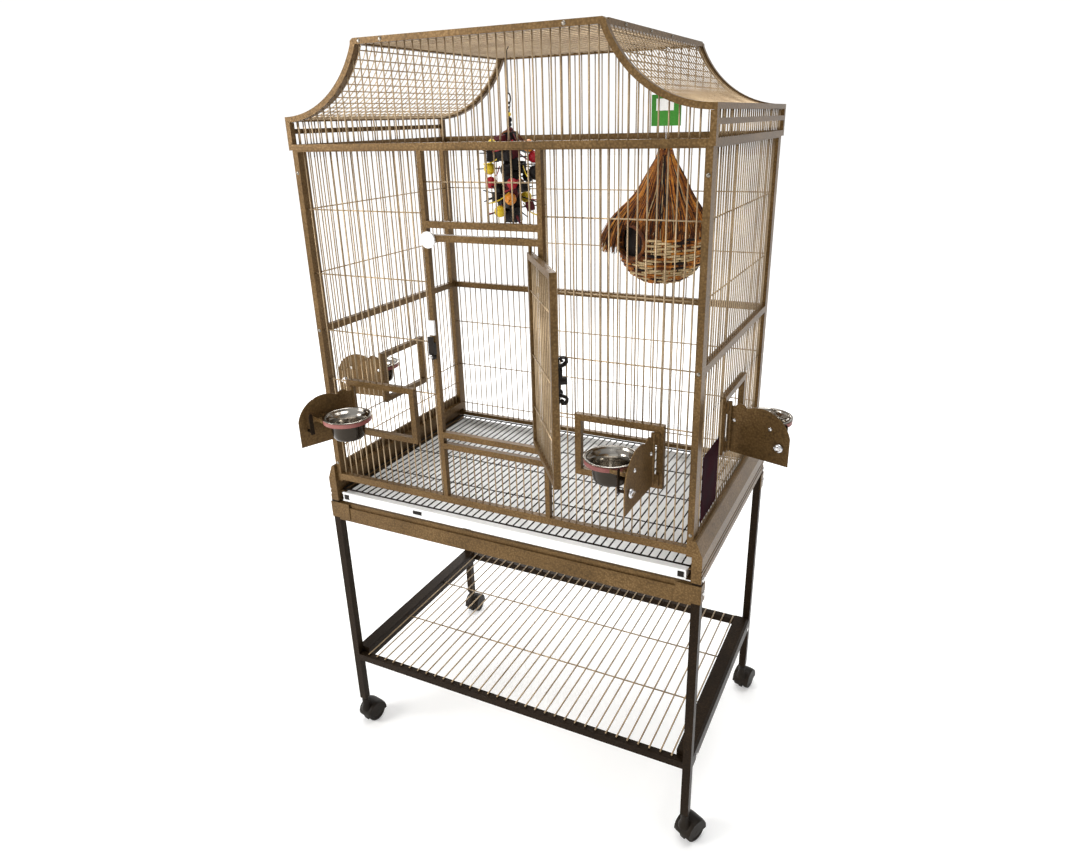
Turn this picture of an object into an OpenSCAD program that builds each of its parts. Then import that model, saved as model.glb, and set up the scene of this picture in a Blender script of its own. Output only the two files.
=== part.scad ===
// Flight cage for small birds on a rolling stand, with swing-out feeder doors,
// a slide-out tray and floor grate, a concave bonnet roof, a woven nest and a hanging toy.
// Millimetres, +Z up, front towards -Y. The origin is on the floor under the cage's centre.

/* [Cage] */
// Outer width of the cage panels
cage_w = 812; // [780:2:840]
// Outer depth of the cage panels
cage_d = 520; // [500:2:540]
// Height of the underside of the cage panels above the floor
cage_z0 = 692; // [680:1:700]
// Height of the cage panels
panel_h = 691; // [680:1:700]
// Side of the square frame tubes
tube = 12; // [10:1:14]
// Diameter of the grille wires
wire_d = 2.6; // [2.2:0.2:3]
// Spacing of the upright wires
pitch = 16; // [14:1:18]

/* [Roof] */
// Height of the ridge above the floor
ridge_z = 1564; // [1550:1:1580]
// Height of the eave above the floor
eave_z = 1442; // [1436:1:1446]
// Radius of the concave roof sweep
sweep_r = 187; // [184:1:190]
// How far the roof stands out over the panels
roof_over = 4; // [2:1:6]

/* [Doors] */
// How far the main door stands open
door_open = 127; // [100:1:130]
// How far each feeder door stands open: front left, front right, left, right
feeder_open = [112, 88, 96, 107]; // [0:1:115]
// Length of a feeder door from its hinge
plate_w = 122; // [118:1:126]
// Rim radius of a feeder bowl
bowl_r = 49; // [46:1:50]

/* [Stand] */
// Outer width of the stand
stand_w = 852; // [848:1:860]
// Outer depth of the stand
stand_d = 533; // [528:1:540]
// Side of the square legs
leg = 17; // [15:1:20]
// Height of the shelf rails' underside
shelf_z = 197; // [150:1:250]
// Radius of a caster wheel
wheel_r = 25; // [23:1:26]

/* [Hidden] */

$fn = 48;
bronze = "#7a5c36";
dark_bronze = "#5a4428";
wire_colour = "#c9b48c";
steel = "#c8c8cc";
black = "#2a221c";
white = "#f2f0ec";
straw = "#b9763a";

gap = 0.05;                       // between tubes that are welded in the real frame
hx = cage_w / 2;                  // outer face of the side panels
hy = cage_d / 2;                  // outer face of the front and back panels
cage_z1 = cage_z0 + panel_h;      // top of the panels, underside of the roof
base_rail = 15;                   // height of each panel's bottom rail
top_strip = 3;                    // flat bar along each panel's top
grid_z0 = cage_z0 + base_rail;    // where the wires start
grid_z1 = cage_z1 - top_strip;    // where the wires end
mid_z = [cage_z0 + 334, cage_z0 + 348];          // mid rail of the side and back panels
cross_z = [cage_z0 + 457, cage_z0 + 582];        // cross wires above the mid rail
low_cross = cage_z0 + 242;                       // cross wire just above the feeder frames
back_z = [cage_z0 - 24, cage_z0 - 14];           // bottom rail of the back panel, over the grate

// Main door
jamb = [112.5, 122];                             // inner and outer face of the door jambs
door_z = [cage_z0 + 158, cage_z0 + 533];         // sill and head of the door opening
rail_step = 24;                                  // from a door rail to the rail beyond it
leaf = 11;                                       // side of the door's tubes
leaf_z = [door_z[0] + 6, door_z[1] - 11];
pin_x = 95;                                      // pivot of the door
pin_y = -hy + tube / 2;
leaf_x = [-103, pin_x + leaf / 2];
pin_r = 3;
pin_fit = 0.06;                                  // radial clearance of the pivots

// Feeder openings
feeder_z = [cage_z0 + 121, cage_z0 + 240];       // outer height of a feeder frame
feeder_w = 168;                                  // outer width of a feeder frame
front_feeder_x = 177;                            // inner edge of the front feeder frames
side_feeder_y = 8;                               // centre of the side feeder frames
hinge_out = 5;                                   // hinge pin in front of the frame's face
hinge_in = 17;                                  // hinge pin from the frame's outer edge
hinge_r = 4;
hinge_pin_r = 1.6;
plate_t = 2;
plate_z = [feeder_z[0] + 6.5, feeder_z[1] - 12];
bowl_u = 47;                                     // bowl centre along the plate
bowl_v = 58;                                     // bowl centre behind the plate
bowl_h = 48;
rim_z = feeder_z[0] + 72;
knob_u = 106;
knob_z = feeder_z[0] + 40;

// Stand
sx = stand_w / 2;
sy = stand_d / 2;
leg_z0 = 78;
leg_z1 = 640;
rail_in = hx + 0.5;                              // inner face of the side rails
rail_top = 726;
leg_x = sx - leg / 2;
leg_y = sy - leg / 2;
tray_z = leg_z1 + 1;
tray_h = 20;
grate_z = leg_z1 + 22.8;
tray_w = 792;
grate_w = 808;

// Casters
trail = 19;                                      // axle behind the swivel
wheel_w = 15;
web = 10;                                        // hood's middle web
stem_r = 4;
caster_turn = [80, 65, 95, 80];                   // fl, fr, rl, rr

// Roof shape and the wires that things hang from
roof_x = hx + roof_over;
roof_y = hy + roof_over;
roof_t = 10;                                     // tube height seen from the front
sweep_z = eave_z + sweep_r;                      // centre of the concave sweep
ridge_x = roof_x - sqrt(pow(sweep_r, 2) - pow(sweep_z - ridge_z, 2));
mesh_r = sweep_r + 4;                            // middle of the curved mesh
mesh_z = ridge_z - 5;                            // middle of the flat mesh
strips = 5;                                      // flat strips that make each curved side
strip_0 = 270 - asin((tube + 1) / mesh_r);
strip_1 = 180 + asin((sweep_z - ridge_z + roof_t + 2.5) / mesh_r);
strip_a = (strip_0 - strip_1) / strips;
strip_d = mesh_r * cos(strip_a / 2);             // from the sweep's centre to a strip
hang_y = 8;
nest_at = [roof_x + strip_d * cos(strip_1 + strip_a / 2), hang_y];
nest_hang_z = sweep_z + strip_d * sin(strip_1 + strip_a / 2);
toy_at = [-80, hang_y];
hook_bore = 2;                                   // bore of a hanger's eye round its wire

// ---------- helpers ----------

// A box given by its two corners
module bar(a, b) translate(a) cube(b - a);

// Wire positions at the pitch that fall between two limits
function wires(a, b, step, at = 0) =
    [for (k = [ceil((a + 2.5 - at) / step) : floor((b - 2.5 - at) / step)]) at + k * step];

// Values of a list that lie between two limits
function within(list, a, b) = [for (v = list) if (v > a + 4 && v < b - 4) v];

// A flat grid of crossing wires in the XY plane: what is left of a sheet once its cells are cut
module grid(a, b, xs, ys, d = wire_d) {
    ex = concat([a[0] - d], xs, [b[0] + d]);
    ey = concat([a[1] - d], ys, [b[1] + d]);
    translate([0, 0, -d / 2]) linear_extrude(d) difference() {
        translate(a) square(b - a);
        for (i = [0 : len(ex) - 2], j = [0 : len(ey) - 2])
            translate([ex[i] + d / 2, ey[j] + d / 2])
                square([ex[i + 1] - ex[i] - d, ey[j + 1] - ey[j] - d]);
    }
}

// A grid standing up across the cage (along X) at a given y
module grid_xz(y, x0, x1, z0, z1, zs)
    translate([0, y, 0]) rotate([90, 0, 0])
        grid([x0, z0], [x1, z1], wires(x0, x1, pitch), within(zs, z0, z1));

// A grid standing up along the cage (along Y) at a given x
module grid_yz(x, y0, y1, z0, z1, zs)
    translate([x, 0, 0]) rotate([90, 0, 90])
        grid([y0, z0], [y1, z1], wires(y0, y1, pitch), within(zs, z0, z1));

// ---------- stand ----------

// Square leg, upright, with its top under the side rail
module stand_leg(side, end) color(dark_bronze)
    translate([side * leg_x, end * leg_y, leg_z0]) difference() {
        translate([-leg / 2, -leg / 2, 0]) cube([leg, leg, leg_z1 - leg_z0]);
        translate([0, 0, -1]) cylinder(r = 5.5, h = 30);
    }

// Tall side rail: ribbed outside, chamfered at the top, with ledges inside for the
// cage panel, the grate and the tray
module stand_side_rail(side) color(bronze) mirror([side < 0 ? 1 : 0, 0, 0]) {
    rib = 2.2;
    groove_z = [leg_z1 + 14, leg_z1 + 24];
    translate([0, sy, 0]) rotate([90, 0, 0]) linear_extrude(2 * sy) difference() {
        polygon([[rail_in, leg_z1], [sx, leg_z1], [sx, rail_top - 32],
            [rail_in + 8, rail_top - 3], [rail_in + 5, rail_top], [rail_in, rail_top]]);
        for (z = groove_z)
            polygon([[sx + 1, z - 1], [sx + 1, z + 5], [sx - rib, z + 3], [sx - rib, z + 1]]);
    }
    bar([hx - tube, -hy + 1, cage_z0 - 4], [rail_in - gap, hy - tube - 1, cage_z0 - gap]);
    bar([rail_in - 8, -sy + 10, grate_z - 2.8], [rail_in - gap, sy - 10, grate_z - 0.4]);
    bar([tray_w / 2 - 12, -sy + 10, leg_z1 - 2], [rail_in - gap, sy - 10, leg_z1]);
}

// Low cross rail between the legs, with a thinner lip along its top
module stand_cross_rail(end) color(bronze) mirror([0, end > 0 ? 1 : 0, 0]) {
    x = leg_x - leg / 2;
    bar([-x, -sy, leg_z1 - 48], [x, -sy + 11, leg_z1 - 14]);
    bar([-x, -sy + 3.5, leg_z1 - 14 + gap], [x, -sy + 11, leg_z1 - 4]);
}

// Folded plates that tie each leg to the cross rail
module corner_brackets() color(bronze)
    for (i = [0, 1], j = [0, 1]) mirror([i, 0, 0]) mirror([0, j, 0])
        translate([0, 0, leg_z1 - 42]) linear_extrude(38) polygon([
            [sx - 48, -sy - 1.8], [sx + 1.8, -sy - 1.8], [sx + 1.8, -sy + leg + 6],
            [sx, -sy + leg + 6], [sx, -sy], [sx - 48, -sy]]);

// Domed bolt heads on the outside of the stand
module stand_bolts() color(steel)
    for (i = [0, 1], j = [0, 1]) mirror([i, 0, 0]) mirror([0, j, 0]) {
        bolt_head([sx, -leg_y, leg_z1 + 7]);
        bolt_head([sx + 1.8, -leg_y, leg_z1 - 21]);
        bolt_head([sx, -leg_y + 28, shelf_z + 14]);
    }

module bolt_head(at) translate(at) rotate([0, 90, 0]) intersection() {
    cylinder(r = 5.5, h = 3.6);
    translate([0, 0, -4]) sphere(r = 8);
}

// Shelf frame: deep side channels and slim cross tubes between the legs
module shelf_frame() color(dark_bronze) {
    y = leg_y - leg / 2;
    x = leg_x - leg / 2;
    for (i = [0, 1]) mirror([i, 0, 0])
        translate([0, y, 0]) rotate([90, 0, 0]) linear_extrude(2 * y)
            polygon([[x - 18, shelf_z], [sx, shelf_z], [sx, shelf_z + 27],
                [sx - 5, shelf_z + 33], [x - 18, shelf_z + 33]]);
    for (j = [0, 1]) mirror([0, j, 0])
        bar([-x + 18 + gap, -sy, shelf_z + 3], [x - 18 - gap, -sy + 16, shelf_z + 20]);
    for (i = [0, 1], j = [0, 1]) mirror([i, 0, 0]) mirror([0, j, 0])
        bar([x - 18, -sy, shelf_z + 3], [x - gap, -sy + 16, shelf_z + 20]);
}

// Shelf grille: wires from front to back with two cross wires
module shelf_grille() color(wire_colour) {
    x = leg_x - leg / 2 - 18;
    shelf_pitch = 24;
    translate([0, 0, shelf_z + 20 + wire_d / 2])
        grid([-x, -sy + 8], [x, sy - 8], wires(-x, x, shelf_pitch), [-85, 85]);
}

// ---------- casters ----------

// Places its children in a caster's own frame: swivel axis at the origin, trail towards +X
module at_caster(i)
    translate([(i % 2 == 0 ? -1 : 1) * leg_x, (i < 2 ? -1 : 1) * leg_y, 0])
        rotate([0, 0, caster_turn[i]]) children();

// Plastic plugs in the leg ends that hold the caster stems
module caster_sockets() color(black)
    for (i = [-1, 1], j = [-1, 1]) translate([i * leg_x, j * leg_y, 0]) difference() {
        union() {
            translate([0, 0, leg_z0 - 3]) cylinder(r = 8, h = 3);
            translate([0, 0, leg_z0]) cylinder(r = 5.5, h = 24);
        }
        translate([0, 0, leg_z0 - 4]) cylinder(r = stem_r + pin_fit, h = 40);
    }

// Swivelling hood: stem, collar, middle web, rounded hood and axle
module caster_hood(i) color(black) at_caster(i) {
    wide = web + 2 * wheel_w + 2;
    hood_r = wheel_r + 4;
    translate([0, 0, 56]) cylinder(r = stem_r, h = leg_z0 - 56 + 18);
    translate([0, 0, 50]) cylinder(r = 8.5, h = leg_z0 - 3.4 - 50);
    intersection() {
        translate([trail, 0, wheel_r]) rotate([90, 0, 0]) difference() {
            cylinder(r = hood_r, h = wide, center = true);
            for (s = [-1, 1])
                translate([0, 0, s * (web / 2 + wheel_w / 2 + 1)])
                    cylinder(r = wheel_r + 1.4, h = wheel_w + 2, center = true);
        }
        union() {
            translate([trail - hood_r - 1, -wide, wheel_r + 3]) cube([2 * hood_r + 2, 2 * wide, 60]);
            translate([trail - hood_r - 1, -web / 2, 9]) cube([2 * hood_r + 2, web, 60]);
        }
    }
    translate([trail, 0, wheel_r]) rotate([90, 0, 0])
        cylinder(r = 3, h = wide - 1, center = true);
}

// Pair of wheels on one axle
module caster_wheels(i) color("#1c1a18") at_caster(i)
    for (s = [-1, 1])
        translate([trail, s * (web / 2 + 0.8 + wheel_w / 2), wheel_r]) rotate([90, 0, 0])
            difference() {
                rotate_extrude() polygon([[3 + pin_fit, -wheel_w / 2], [wheel_r - 3, -wheel_w / 2],
                    [wheel_r, -wheel_w / 2 + 3], [wheel_r, wheel_w / 2 - 3],
                    [wheel_r - 3, wheel_w / 2], [3 + pin_fit, wheel_w / 2]]);
            }

// ---------- tray and grate ----------

// Shallow seed tray with a plain front
module tray() color(white) {
    x = tray_w / 2;
    t = 1.5;
    z = tray_z + t + gap;
    y = [-hy + 2 + gap, hy - 6];
    bar([-x, y[0], tray_z], [x, y[1], tray_z + t]);
    for (s = [0, 1]) mirror([s, 0, 0])
        bar([x - t, y[0], z], [x, y[1], tray_z + tray_h - 4]);
    bar([-x + t + gap, y[1] - t, z], [x - t - gap, y[1], tray_z + tray_h - 4]);
    bar([-x, -hy, tray_z], [x, -hy + 2, tray_z + tray_h]);
    bar([-x, -hy - 3, tray_z + tray_h - 3], [x, -hy - gap, tray_z + tray_h]);
}

// Floor grate that slides out above the tray
module floor_grate() color("#3a3230") {
    x = grate_w / 2;
    d = 3.2;
    translate([0, 0, grate_z + d / 2]) {
        y = [-hy + 8, hy - 8];
        xs = concat([-x + d / 2], wires(-x + 6, x - 6, pitch), [x - d / 2]);
        grid([-x, y[0]], [x, y[1]], xs, [y[0] + d / 2, -125, 0, 125, y[1] - d / 2], d);
    }
}

// ---------- cage panels ----------

// Ring of four tubes round a feeder opening, lying in the XZ plane with its corner at the origin
module feeder_frame() {
    h = feeder_z[1] - feeder_z[0];
    bar([0, 0, 0], [feeder_w, tube, tube]);
    bar([0, 0, h - tube], [feeder_w, tube, h]);
    for (x = [0, feeder_w - tube])
        bar([x, 0, tube + gap], [x + tube, tube, h - tube - gap]);
}

// Bottom rail and top strip of a panel of half-length l, lying along X
module panel_rails(l) {
    bar([-l, -tube, cage_z0], [l, 0, grid_z0]);
    bar([-l, -tube, grid_z1], [l, 0, cage_z1]);
}

module front_frame() color(bronze) translate([0, -hy, 0]) {
    translate([0, tube, 0]) panel_rails(hx);
    for (s = [0, 1]) mirror([s, 0, 0]) {
        bar([hx - tube, 0, grid_z0 + gap], [hx, tube, grid_z1 - gap]);
        bar([jamb[0], 0, grid_z0 + gap], [jamb[1], tube, grid_z1 - gap]);
        translate([front_feeder_x, 0, feeder_z[0]]) feeder_frame();
    }
    x = jamb[0] - gap;
    for (z = [door_z[1] + rail_step, door_z[0] - rail_step - tube])
        bar([-x, 0, z], [x, tube, z + tube]);
    for (z = [door_z[1], door_z[0] - tube]) difference() {
        bar([-x, 0, z], [x, tube, z + tube]);
        translate([pin_x, tube / 2, z - 1]) cylinder(r = pin_r + pin_fit, h = tube + 2);
    }
}

module front_wires() color(wire_colour) {
    y = -hy + tube / 2;
    zs = concat(cross_z, [(mid_z[0] + mid_z[1]) / 2]);
    edge = [jamb[1], hx - tube];
    opening = [front_feeder_x, front_feeder_x + feeder_w];
    for (s = [0, 1]) mirror([s, 0, 0]) {
        grid_xz(y, edge[0], edge[1], feeder_z[1] + gap, grid_z1, zs);
        grid_xz(y, edge[0], edge[1], grid_z0, feeder_z[0] - gap, []);
        grid_xz(y, edge[0], opening[0], feeder_z[0] + gap, feeder_z[1] - gap, [feeder_z[1] - 6]);
        grid_xz(y, opening[1], edge[1], feeder_z[0] + gap, feeder_z[1] - gap, [feeder_z[1] - 6]);
    }
    x = jamb[0];
    grid_xz(y, -x, x, door_z[1] + rail_step + tube, grid_z1, [cage_z0 + 636]);
    grid_xz(y, -x, x, grid_z0, door_z[0] - rail_step - tube, []);
}

module back_frame() color(bronze) translate([0, hy, 0]) {
    bar([-hx, -tube, back_z[0]], [hx, 0, back_z[1]]);
    bar([-hx, -tube, grid_z1], [hx, 0, cage_z1]);
    for (s = [0, 1]) mirror([s, 0, 0])
        bar([hx - tube, -tube, back_z[1] + gap], [hx, 0, grid_z1 - gap]);
    x = hx - tube - gap;
    bar([-x, -tube, mid_z[0]], [x, 0, mid_z[1]]);
}

module back_wires() color(wire_colour) {
    y = hy - tube / 2;
    x = hx - tube;
    grid_xz(y, -x, x, mid_z[1], grid_z1, cross_z);
    grid_xz(y, -x, x, back_z[1], mid_z[0], [cage_z0 + 13, feeder_z[0] + 3, low_cross]);
}

// Side panel between the front and back panels; side is -1 for left and 1 for right
module side_frame(side) color(bronze) mirror([side < 0 ? 1 : 0, 0, 0]) {
    l = hy - tube - gap;
    translate([hx, 0, 0]) rotate([0, 0, 90]) {
        translate([0, tube, 0]) panel_rails(l);
        for (s = [0, 1]) mirror([s, 0, 0])
            bar([l - tube, 0, grid_z0 + gap], [l, tube, grid_z1 - gap]);
        bar([-l + tube + gap, 0, mid_z[0]], [l - tube - gap, tube, mid_z[1]]);
        translate([side_feeder_y - feeder_w / 2, 0, feeder_z[0]]) feeder_frame();
    }
}

module side_wires(side) color(wire_colour) mirror([side < 0 ? 1 : 0, 0, 0]) {
    x = hx - tube / 2;
    y = hy - 2 * tube - gap;
    opening = [side_feeder_y - feeder_w / 2, side_feeder_y + feeder_w / 2];
    grid_yz(x, -y, y, mid_z[1], grid_z1, cross_z);
    grid_yz(x, -y, y, feeder_z[1] + gap, mid_z[0], [low_cross + 2]);
    grid_yz(x, -y, y, grid_z0, feeder_z[0] - gap, [grid_z0 + 60]);
    grid_yz(x, -y, opening[0], feeder_z[0] + gap, feeder_z[1] - gap, [feeder_z[0] + 5]);
    grid_yz(x, opening[1], y, feeder_z[0] + gap, feeder_z[1] - gap, [feeder_z[0] + 5]);
}

// Blank dark card tied to the outside of the right panel's wires
module wall_card() color("#2a0d10")
    bar([hx - tube / 2 + wire_d / 2 + gap, -205, rail_top + 4],
        [hx - tube / 2 + wire_d / 2 + gap + 1.2, -97, feeder_z[0] + 48]);

// ---------- roof ----------

lower_rail = [cage_z1, cage_z1 + 10.5];
middle_rail = [cage_z1 + 29, cage_z1 + 38];
upper_rail = [eave_z - 9, eave_z];

// Region of the gable's face inside its tubes
module gable_inside() difference() {
    translate([-roof_x + roof_t, lower_rail[1]])
        square([2 * (roof_x - roof_t), ridge_z - roof_t - lower_rail[1]]);
    for (s = [-1, 1]) translate([s * roof_x, sweep_z]) circle(r = sweep_r + roof_t);
}

// Gable frame of bent tube: base, short eave posts, concave sweeps and flat ridge
module gable_frame(end) color(bronze)
    translate([0, end * (roof_y - tube / 2) + tube / 2, 0]) rotate([90, 0, 0]) {
        linear_extrude(tube) {
            translate([-roof_x, lower_rail[0]]) square([2 * roof_x, lower_rail[1] - lower_rail[0]]);
            polygon([[-ridge_x - 4, ridge_z - roof_t], [ridge_x + 4, ridge_z - roof_t],
                [ridge_x + 3, ridge_z - 4], [ridge_x - 3, ridge_z],
                [-ridge_x + 3, ridge_z], [-ridge_x - 3, ridge_z - 4]]);
        }
        for (s = [0, 1]) mirror([s, 0, 0]) linear_extrude(tube) {
            translate([roof_x - roof_t, lower_rail[1] + gap])
                square([roof_t, eave_z - roof_t - lower_rail[1] - gap]);
            intersection() {
                translate([roof_x, sweep_z]) difference() {
                    circle(r = sweep_r + roof_t);
                    circle(r = sweep_r);
                }
                translate([roof_x - sweep_r - 20, eave_z - roof_t + gap])
                    square([sweep_r + 20, ridge_z - eave_z - 2 * gap]);
            }
        }
    }

// Rails that run front to back: three along each eave and one along each ridge edge
module roof_rails() color(bronze) for (i = [0, 1]) mirror([i, 0, 0]) {
    y = roof_y - tube - gap;
    bar([roof_x - tube, -y, lower_rail[0]], [roof_x, y, lower_rail[1]]);
    bar([roof_x - 4, -y, middle_rail[0]], [roof_x, y, middle_rail[1]]);
    bar([roof_x - tube, -y, upper_rail[0]], [roof_x, y, upper_rail[1]]);
    bar([ridge_x - 8, -y, ridge_z - roof_t], [ridge_x + 3, y, ridge_z - 1]);
}

// Upright wires of both gables, and the short wires of the eave bands
module roof_gable_wires() color(wire_colour) {
    cuts = [-roof_x + roof_t, -340, -280, -ridge_x - 2, ridge_x + 2, 280, 340, roof_x - roof_t];
    foot = 1.6;
    for (end = [-1, 1], k = [0 : len(cuts) - 2])
        translate([0, end * (roof_y - tube / 2) + wire_d / 2, 0]) rotate([90, 0, 0])
            linear_extrude(wire_d) intersection() {
                gable_inside();
                union() {
                    translate([cuts[k] + gap, lower_rail[1]])
                        square([cuts[k + 1] - cuts[k] - 2 * gap, foot]);
                    for (x = wires(cuts[k], cuts[k + 1], pitch))
                        translate([x - wire_d / 2, lower_rail[1]]) square([wire_d, 200]);
                }
            }
    y = roof_y - tube - gap;
    for (s = [-1, 1])
        grid_yz(s * (roof_x - 6), -y, y, lower_rail[1], upper_rail[0], [cage_z1 + 33]);
}

// Square mesh of the roof: flat top and two concave sides, each side in flat strips
module roof_mesh() color(wire_colour) {
    y = roof_y - tube - gap;
    ys = wires(-y, y, 2 * pitch);
    x = ridge_x - 8 - gap;
    translate([0, 0, mesh_z]) grid([-x, -y], [x, y], wires(-x, x, 2 * pitch, pitch), ys);
    half = mesh_r * sin(strip_a / 2) - 0.7;
    for (i = [0, 1], k = [0 : strips - 1]) mirror([i, 0, 0])
        translate([roof_x, 0, sweep_z]) rotate([0, -(strip_0 - strip_a * (k + 0.5)), 0])
            translate([strip_d, 0, 0]) rotate([0, 90, 0])
                grid([-half, -y], [half, y], [0], ys);
}

// ---------- main door ----------

// Turns its children with the main door, from shut to its resting angle
module with_door() translate([pin_x, pin_y, 0]) rotate([0, 0, door_open])
    translate([-pin_x, -pin_y, 0]) children();

module door_frame() color(bronze) with_door() {
    y = [pin_y - leaf / 2, pin_y + leaf / 2];
    bar([leaf_x[1] - leaf, y[0], leaf_z[0]], [leaf_x[1], y[1], leaf_z[1]]);
    translate([pin_x, pin_y, door_z[0] - 9]) cylinder(r = pin_r, h = leaf_z[0] - door_z[0] + 9);
    translate([pin_x, pin_y, leaf_z[1]]) cylinder(r = pin_r, h = door_z[1] - leaf_z[1] + 9);
    bar([leaf_x[0], y[0], leaf_z[0]], [leaf_x[0] + leaf, y[1], leaf_z[1]]);
    for (z = [leaf_z[0], leaf_z[1] - leaf])
        bar([leaf_x[0] + leaf + gap, y[0], z], [leaf_x[1] - leaf - gap, y[1], z + leaf]);
}

module door_wires() color(wire_colour) with_door()
    grid_xz(pin_y, leaf_x[0] + leaf + gap, leaf_x[1] - leaf - gap,
        leaf_z[0] + leaf, leaf_z[1] - leaf, [cross_z[0], (mid_z[0] + mid_z[1]) / 2, low_cross]);

latch_z = cage_z0 + 350;
latch_x = leaf_x[0] + 6;
latch_y = pin_y - leaf / 2;

// Scrolled plate on the door's free edge that carries the latch
module door_latch_plate() color(black) with_door()
    translate([latch_x, latch_y, latch_z]) rotate([90, 0, 0]) difference() {
        union() {
            translate([-5, -32, 0]) cube([12, 64, 3]);
            for (s = [-1, 1]) translate([1, s * 32, 0]) {
                cylinder(r = 7, h = 8);
                translate([0, 0, 8]) cylinder(r1 = 7, r2 = 4, h = 9);
            }
        }
        translate([1, 0, -1]) cylinder(r = 3 + pin_fit, h = 6);
    }

// Turning lever with its spindle
module door_latch_lever() color(black) with_door()
    translate([latch_x + 1, latch_y, latch_z]) rotate([90, 0, 0]) {
        translate([0, 0, 0.4]) cylinder(r = 3, h = 4);
        translate([0, 0, 3.2]) cylinder(r = 6.5, h = 11);
        translate([0, 0, 3.2]) linear_extrude(4) union() {
            translate([-3.5, 0]) square([7, 17]);
            translate([0, 17.5]) circle(r = 4.5);
        }
    }

// Strike for the latch on the left jamb, with its screw
module door_keeper() color(black) {
    x = -(jamb[0] + jamb[1]) / 2;
    bar([x - 6, -hy - 10, latch_z - 30], [x + 6, -hy, latch_z - 7]);
    bar([x - 6, -hy - 10, latch_z - 7], [x + 6, -hy - 7.6, latch_z + 6]);
    translate([x, -hy, latch_z - 36]) rotate([90, 0, 0]) cylinder(r = 4.5, h = 6);
}

// Round white plastic cap at the top corner of the door opening, and the white strike roller
module door_bumper() color(white) {
    translate([-jamb[0] + 2.5, -hy, door_z[1] + 3]) rotate([90, 0, 0]) cylinder(r = 15, h = 4);
    x = -(jamb[0] + jamb[1]) / 2;
    bar([x - 7, -hy - 5, latch_z + 8], [x + 7, -hy, latch_z + 36]);
}

// ---------- feeder doors ----------

// Each feeder: hinge axis x, y, direction of the shut door from the hinge, and opening sense
feeder_hinge_x = front_feeder_x + feeder_w - hinge_in;
side_hinge_y = side_feeder_y - feeder_w / 2 + hinge_in;
feeder_at = [
    [-feeder_hinge_x, -hy - hinge_out, 0, -1],
    [feeder_hinge_x, -hy - hinge_out, 180, 1],
    [-hx - hinge_out, side_hinge_y, 90, 1],
    [hx + hinge_out, side_hinge_y, 90, -1]
];

// Places its children in a feeder's frame: hinge at the origin, shut door along +X,
// the cage's inside towards +Y for a door that opens with a negative turn
module at_feeder(i, open = true) {
    f = feeder_at[i];
    translate([f[0], f[1], 0]) rotate([0, 0, f[2] + (open ? f[3] * feeder_open[i] : 0)])
        mirror([0, f[3] > 0 ? 1 : 0, 0]) children();
}

// Fixed knuckles and pins of the four feeder hinges
module feeder_hinges() color(bronze) for (i = [0 : 3]) at_feeder(i, false) {
    h = plate_z[1] - plate_z[0];
    translate([0, 0, plate_z[0] - 1]) cylinder(r = hinge_pin_r, h = h + 2);
    for (z = [plate_z[0], plate_z[1] - h * 0.22])
        translate([0, 0, z]) {
            cylinder(r = hinge_r, h = h * 0.22);
            translate([-hinge_in + tube / 2, 0, 0]) cube([hinge_in - tube / 2, hinge_out, h * 0.22]);
        }
}

// Outline of a feeder door: straight foot, a small hump by the hinge, then a broad arch
// that falls to the free end
module plate_outline(h) difference() {
    arch = plate_w / 2 + 1;
    union() {
        square([plate_w / 3, h - 7]);
        square([plate_w, h - arch]);
        translate([20, h - 14]) circle(r = 14);
        intersection() {
            translate([plate_w / 4, 0]) square([plate_w * 3 / 4, h]);
            translate([arch, h - arch]) circle(r = arch);
        }
    }
    translate([86, h - 1.5]) circle(r = 4);
}

// Feeder door plate with its hinge knuckle and the ring that holds the bowl
module feeder_door(i) color(bronze) at_feeder(i) {
    h = plate_z[1] - plate_z[0];
    difference() {
        union() {
            translate([hinge_r - 1, -1, plate_z[0]]) rotate([90, 0, 0]) translate([0, 0, -plate_t])
                linear_extrude(plate_t) plate_outline(h);
            translate([0, 0, plate_z[0] + h * 0.22 + 0.3]) cylinder(r = hinge_r, h = h * 0.56 - 0.6);
        }
        for (z = [plate_z[0] - 1, plate_z[1] - h * 0.22 - 0.3])
            translate([0, 0, z]) cylinder(r = hinge_r + 0.4, h = h * 0.22 + 1.3);
        translate([0, 0, plate_z[0] - 1]) cylinder(r = hinge_pin_r + pin_fit, h = h + 2);
        translate([knob_u, 3, knob_z]) rotate([90, 0, 0]) cylinder(r = 3 + pin_fit, h = 8);
    }
    ring_h = 9;
    translate([bowl_u, bowl_v, rim_z - ring_h - 2]) difference() {
        cylinder(r = bowl_r - 2, h = ring_h);
        translate([0, 0, -1]) cylinder(r = bowl_r - 4, h = ring_h + 2);
    }
    arm = 24;
    arm_end = bowl_v - sqrt(pow(bowl_r - 4, 2) - arm * arm) - 0.7;
    for (u = [bowl_u - arm - 6, bowl_u + arm])
        bar([u, 1, rim_z - ring_h - 1], [u + 6, arm_end, rim_z - 4]);
}

// Stainless bowl that drops into the ring by its rolled rim
module feeder_bowl(i) color(steel) at_feeder(i) translate([bowl_u, bowl_v, rim_z - bowl_h])
    rotate_extrude() polygon([
        [0, 0], [bowl_r * 0.5, 0], [bowl_r * 0.61, 3.5], [bowl_r * 0.67, 12],
        [bowl_r * 0.74, bowl_h - 12], [bowl_r - 4.6, bowl_h - 6], [bowl_r - 4.6, bowl_h - 1.5],
        [bowl_r, bowl_h - 1.5], [bowl_r, bowl_h], [bowl_r - 6, bowl_h], [bowl_r - 6, bowl_h - 5.4],
        [bowl_r * 0.74 - 1.4, bowl_h - 11.4], [bowl_r * 0.67 - 1.4, 12.2],
        [bowl_r * 0.6 - 0.8, 5], [bowl_r * 0.5, 1.4], [0, 1.4]]);

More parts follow.
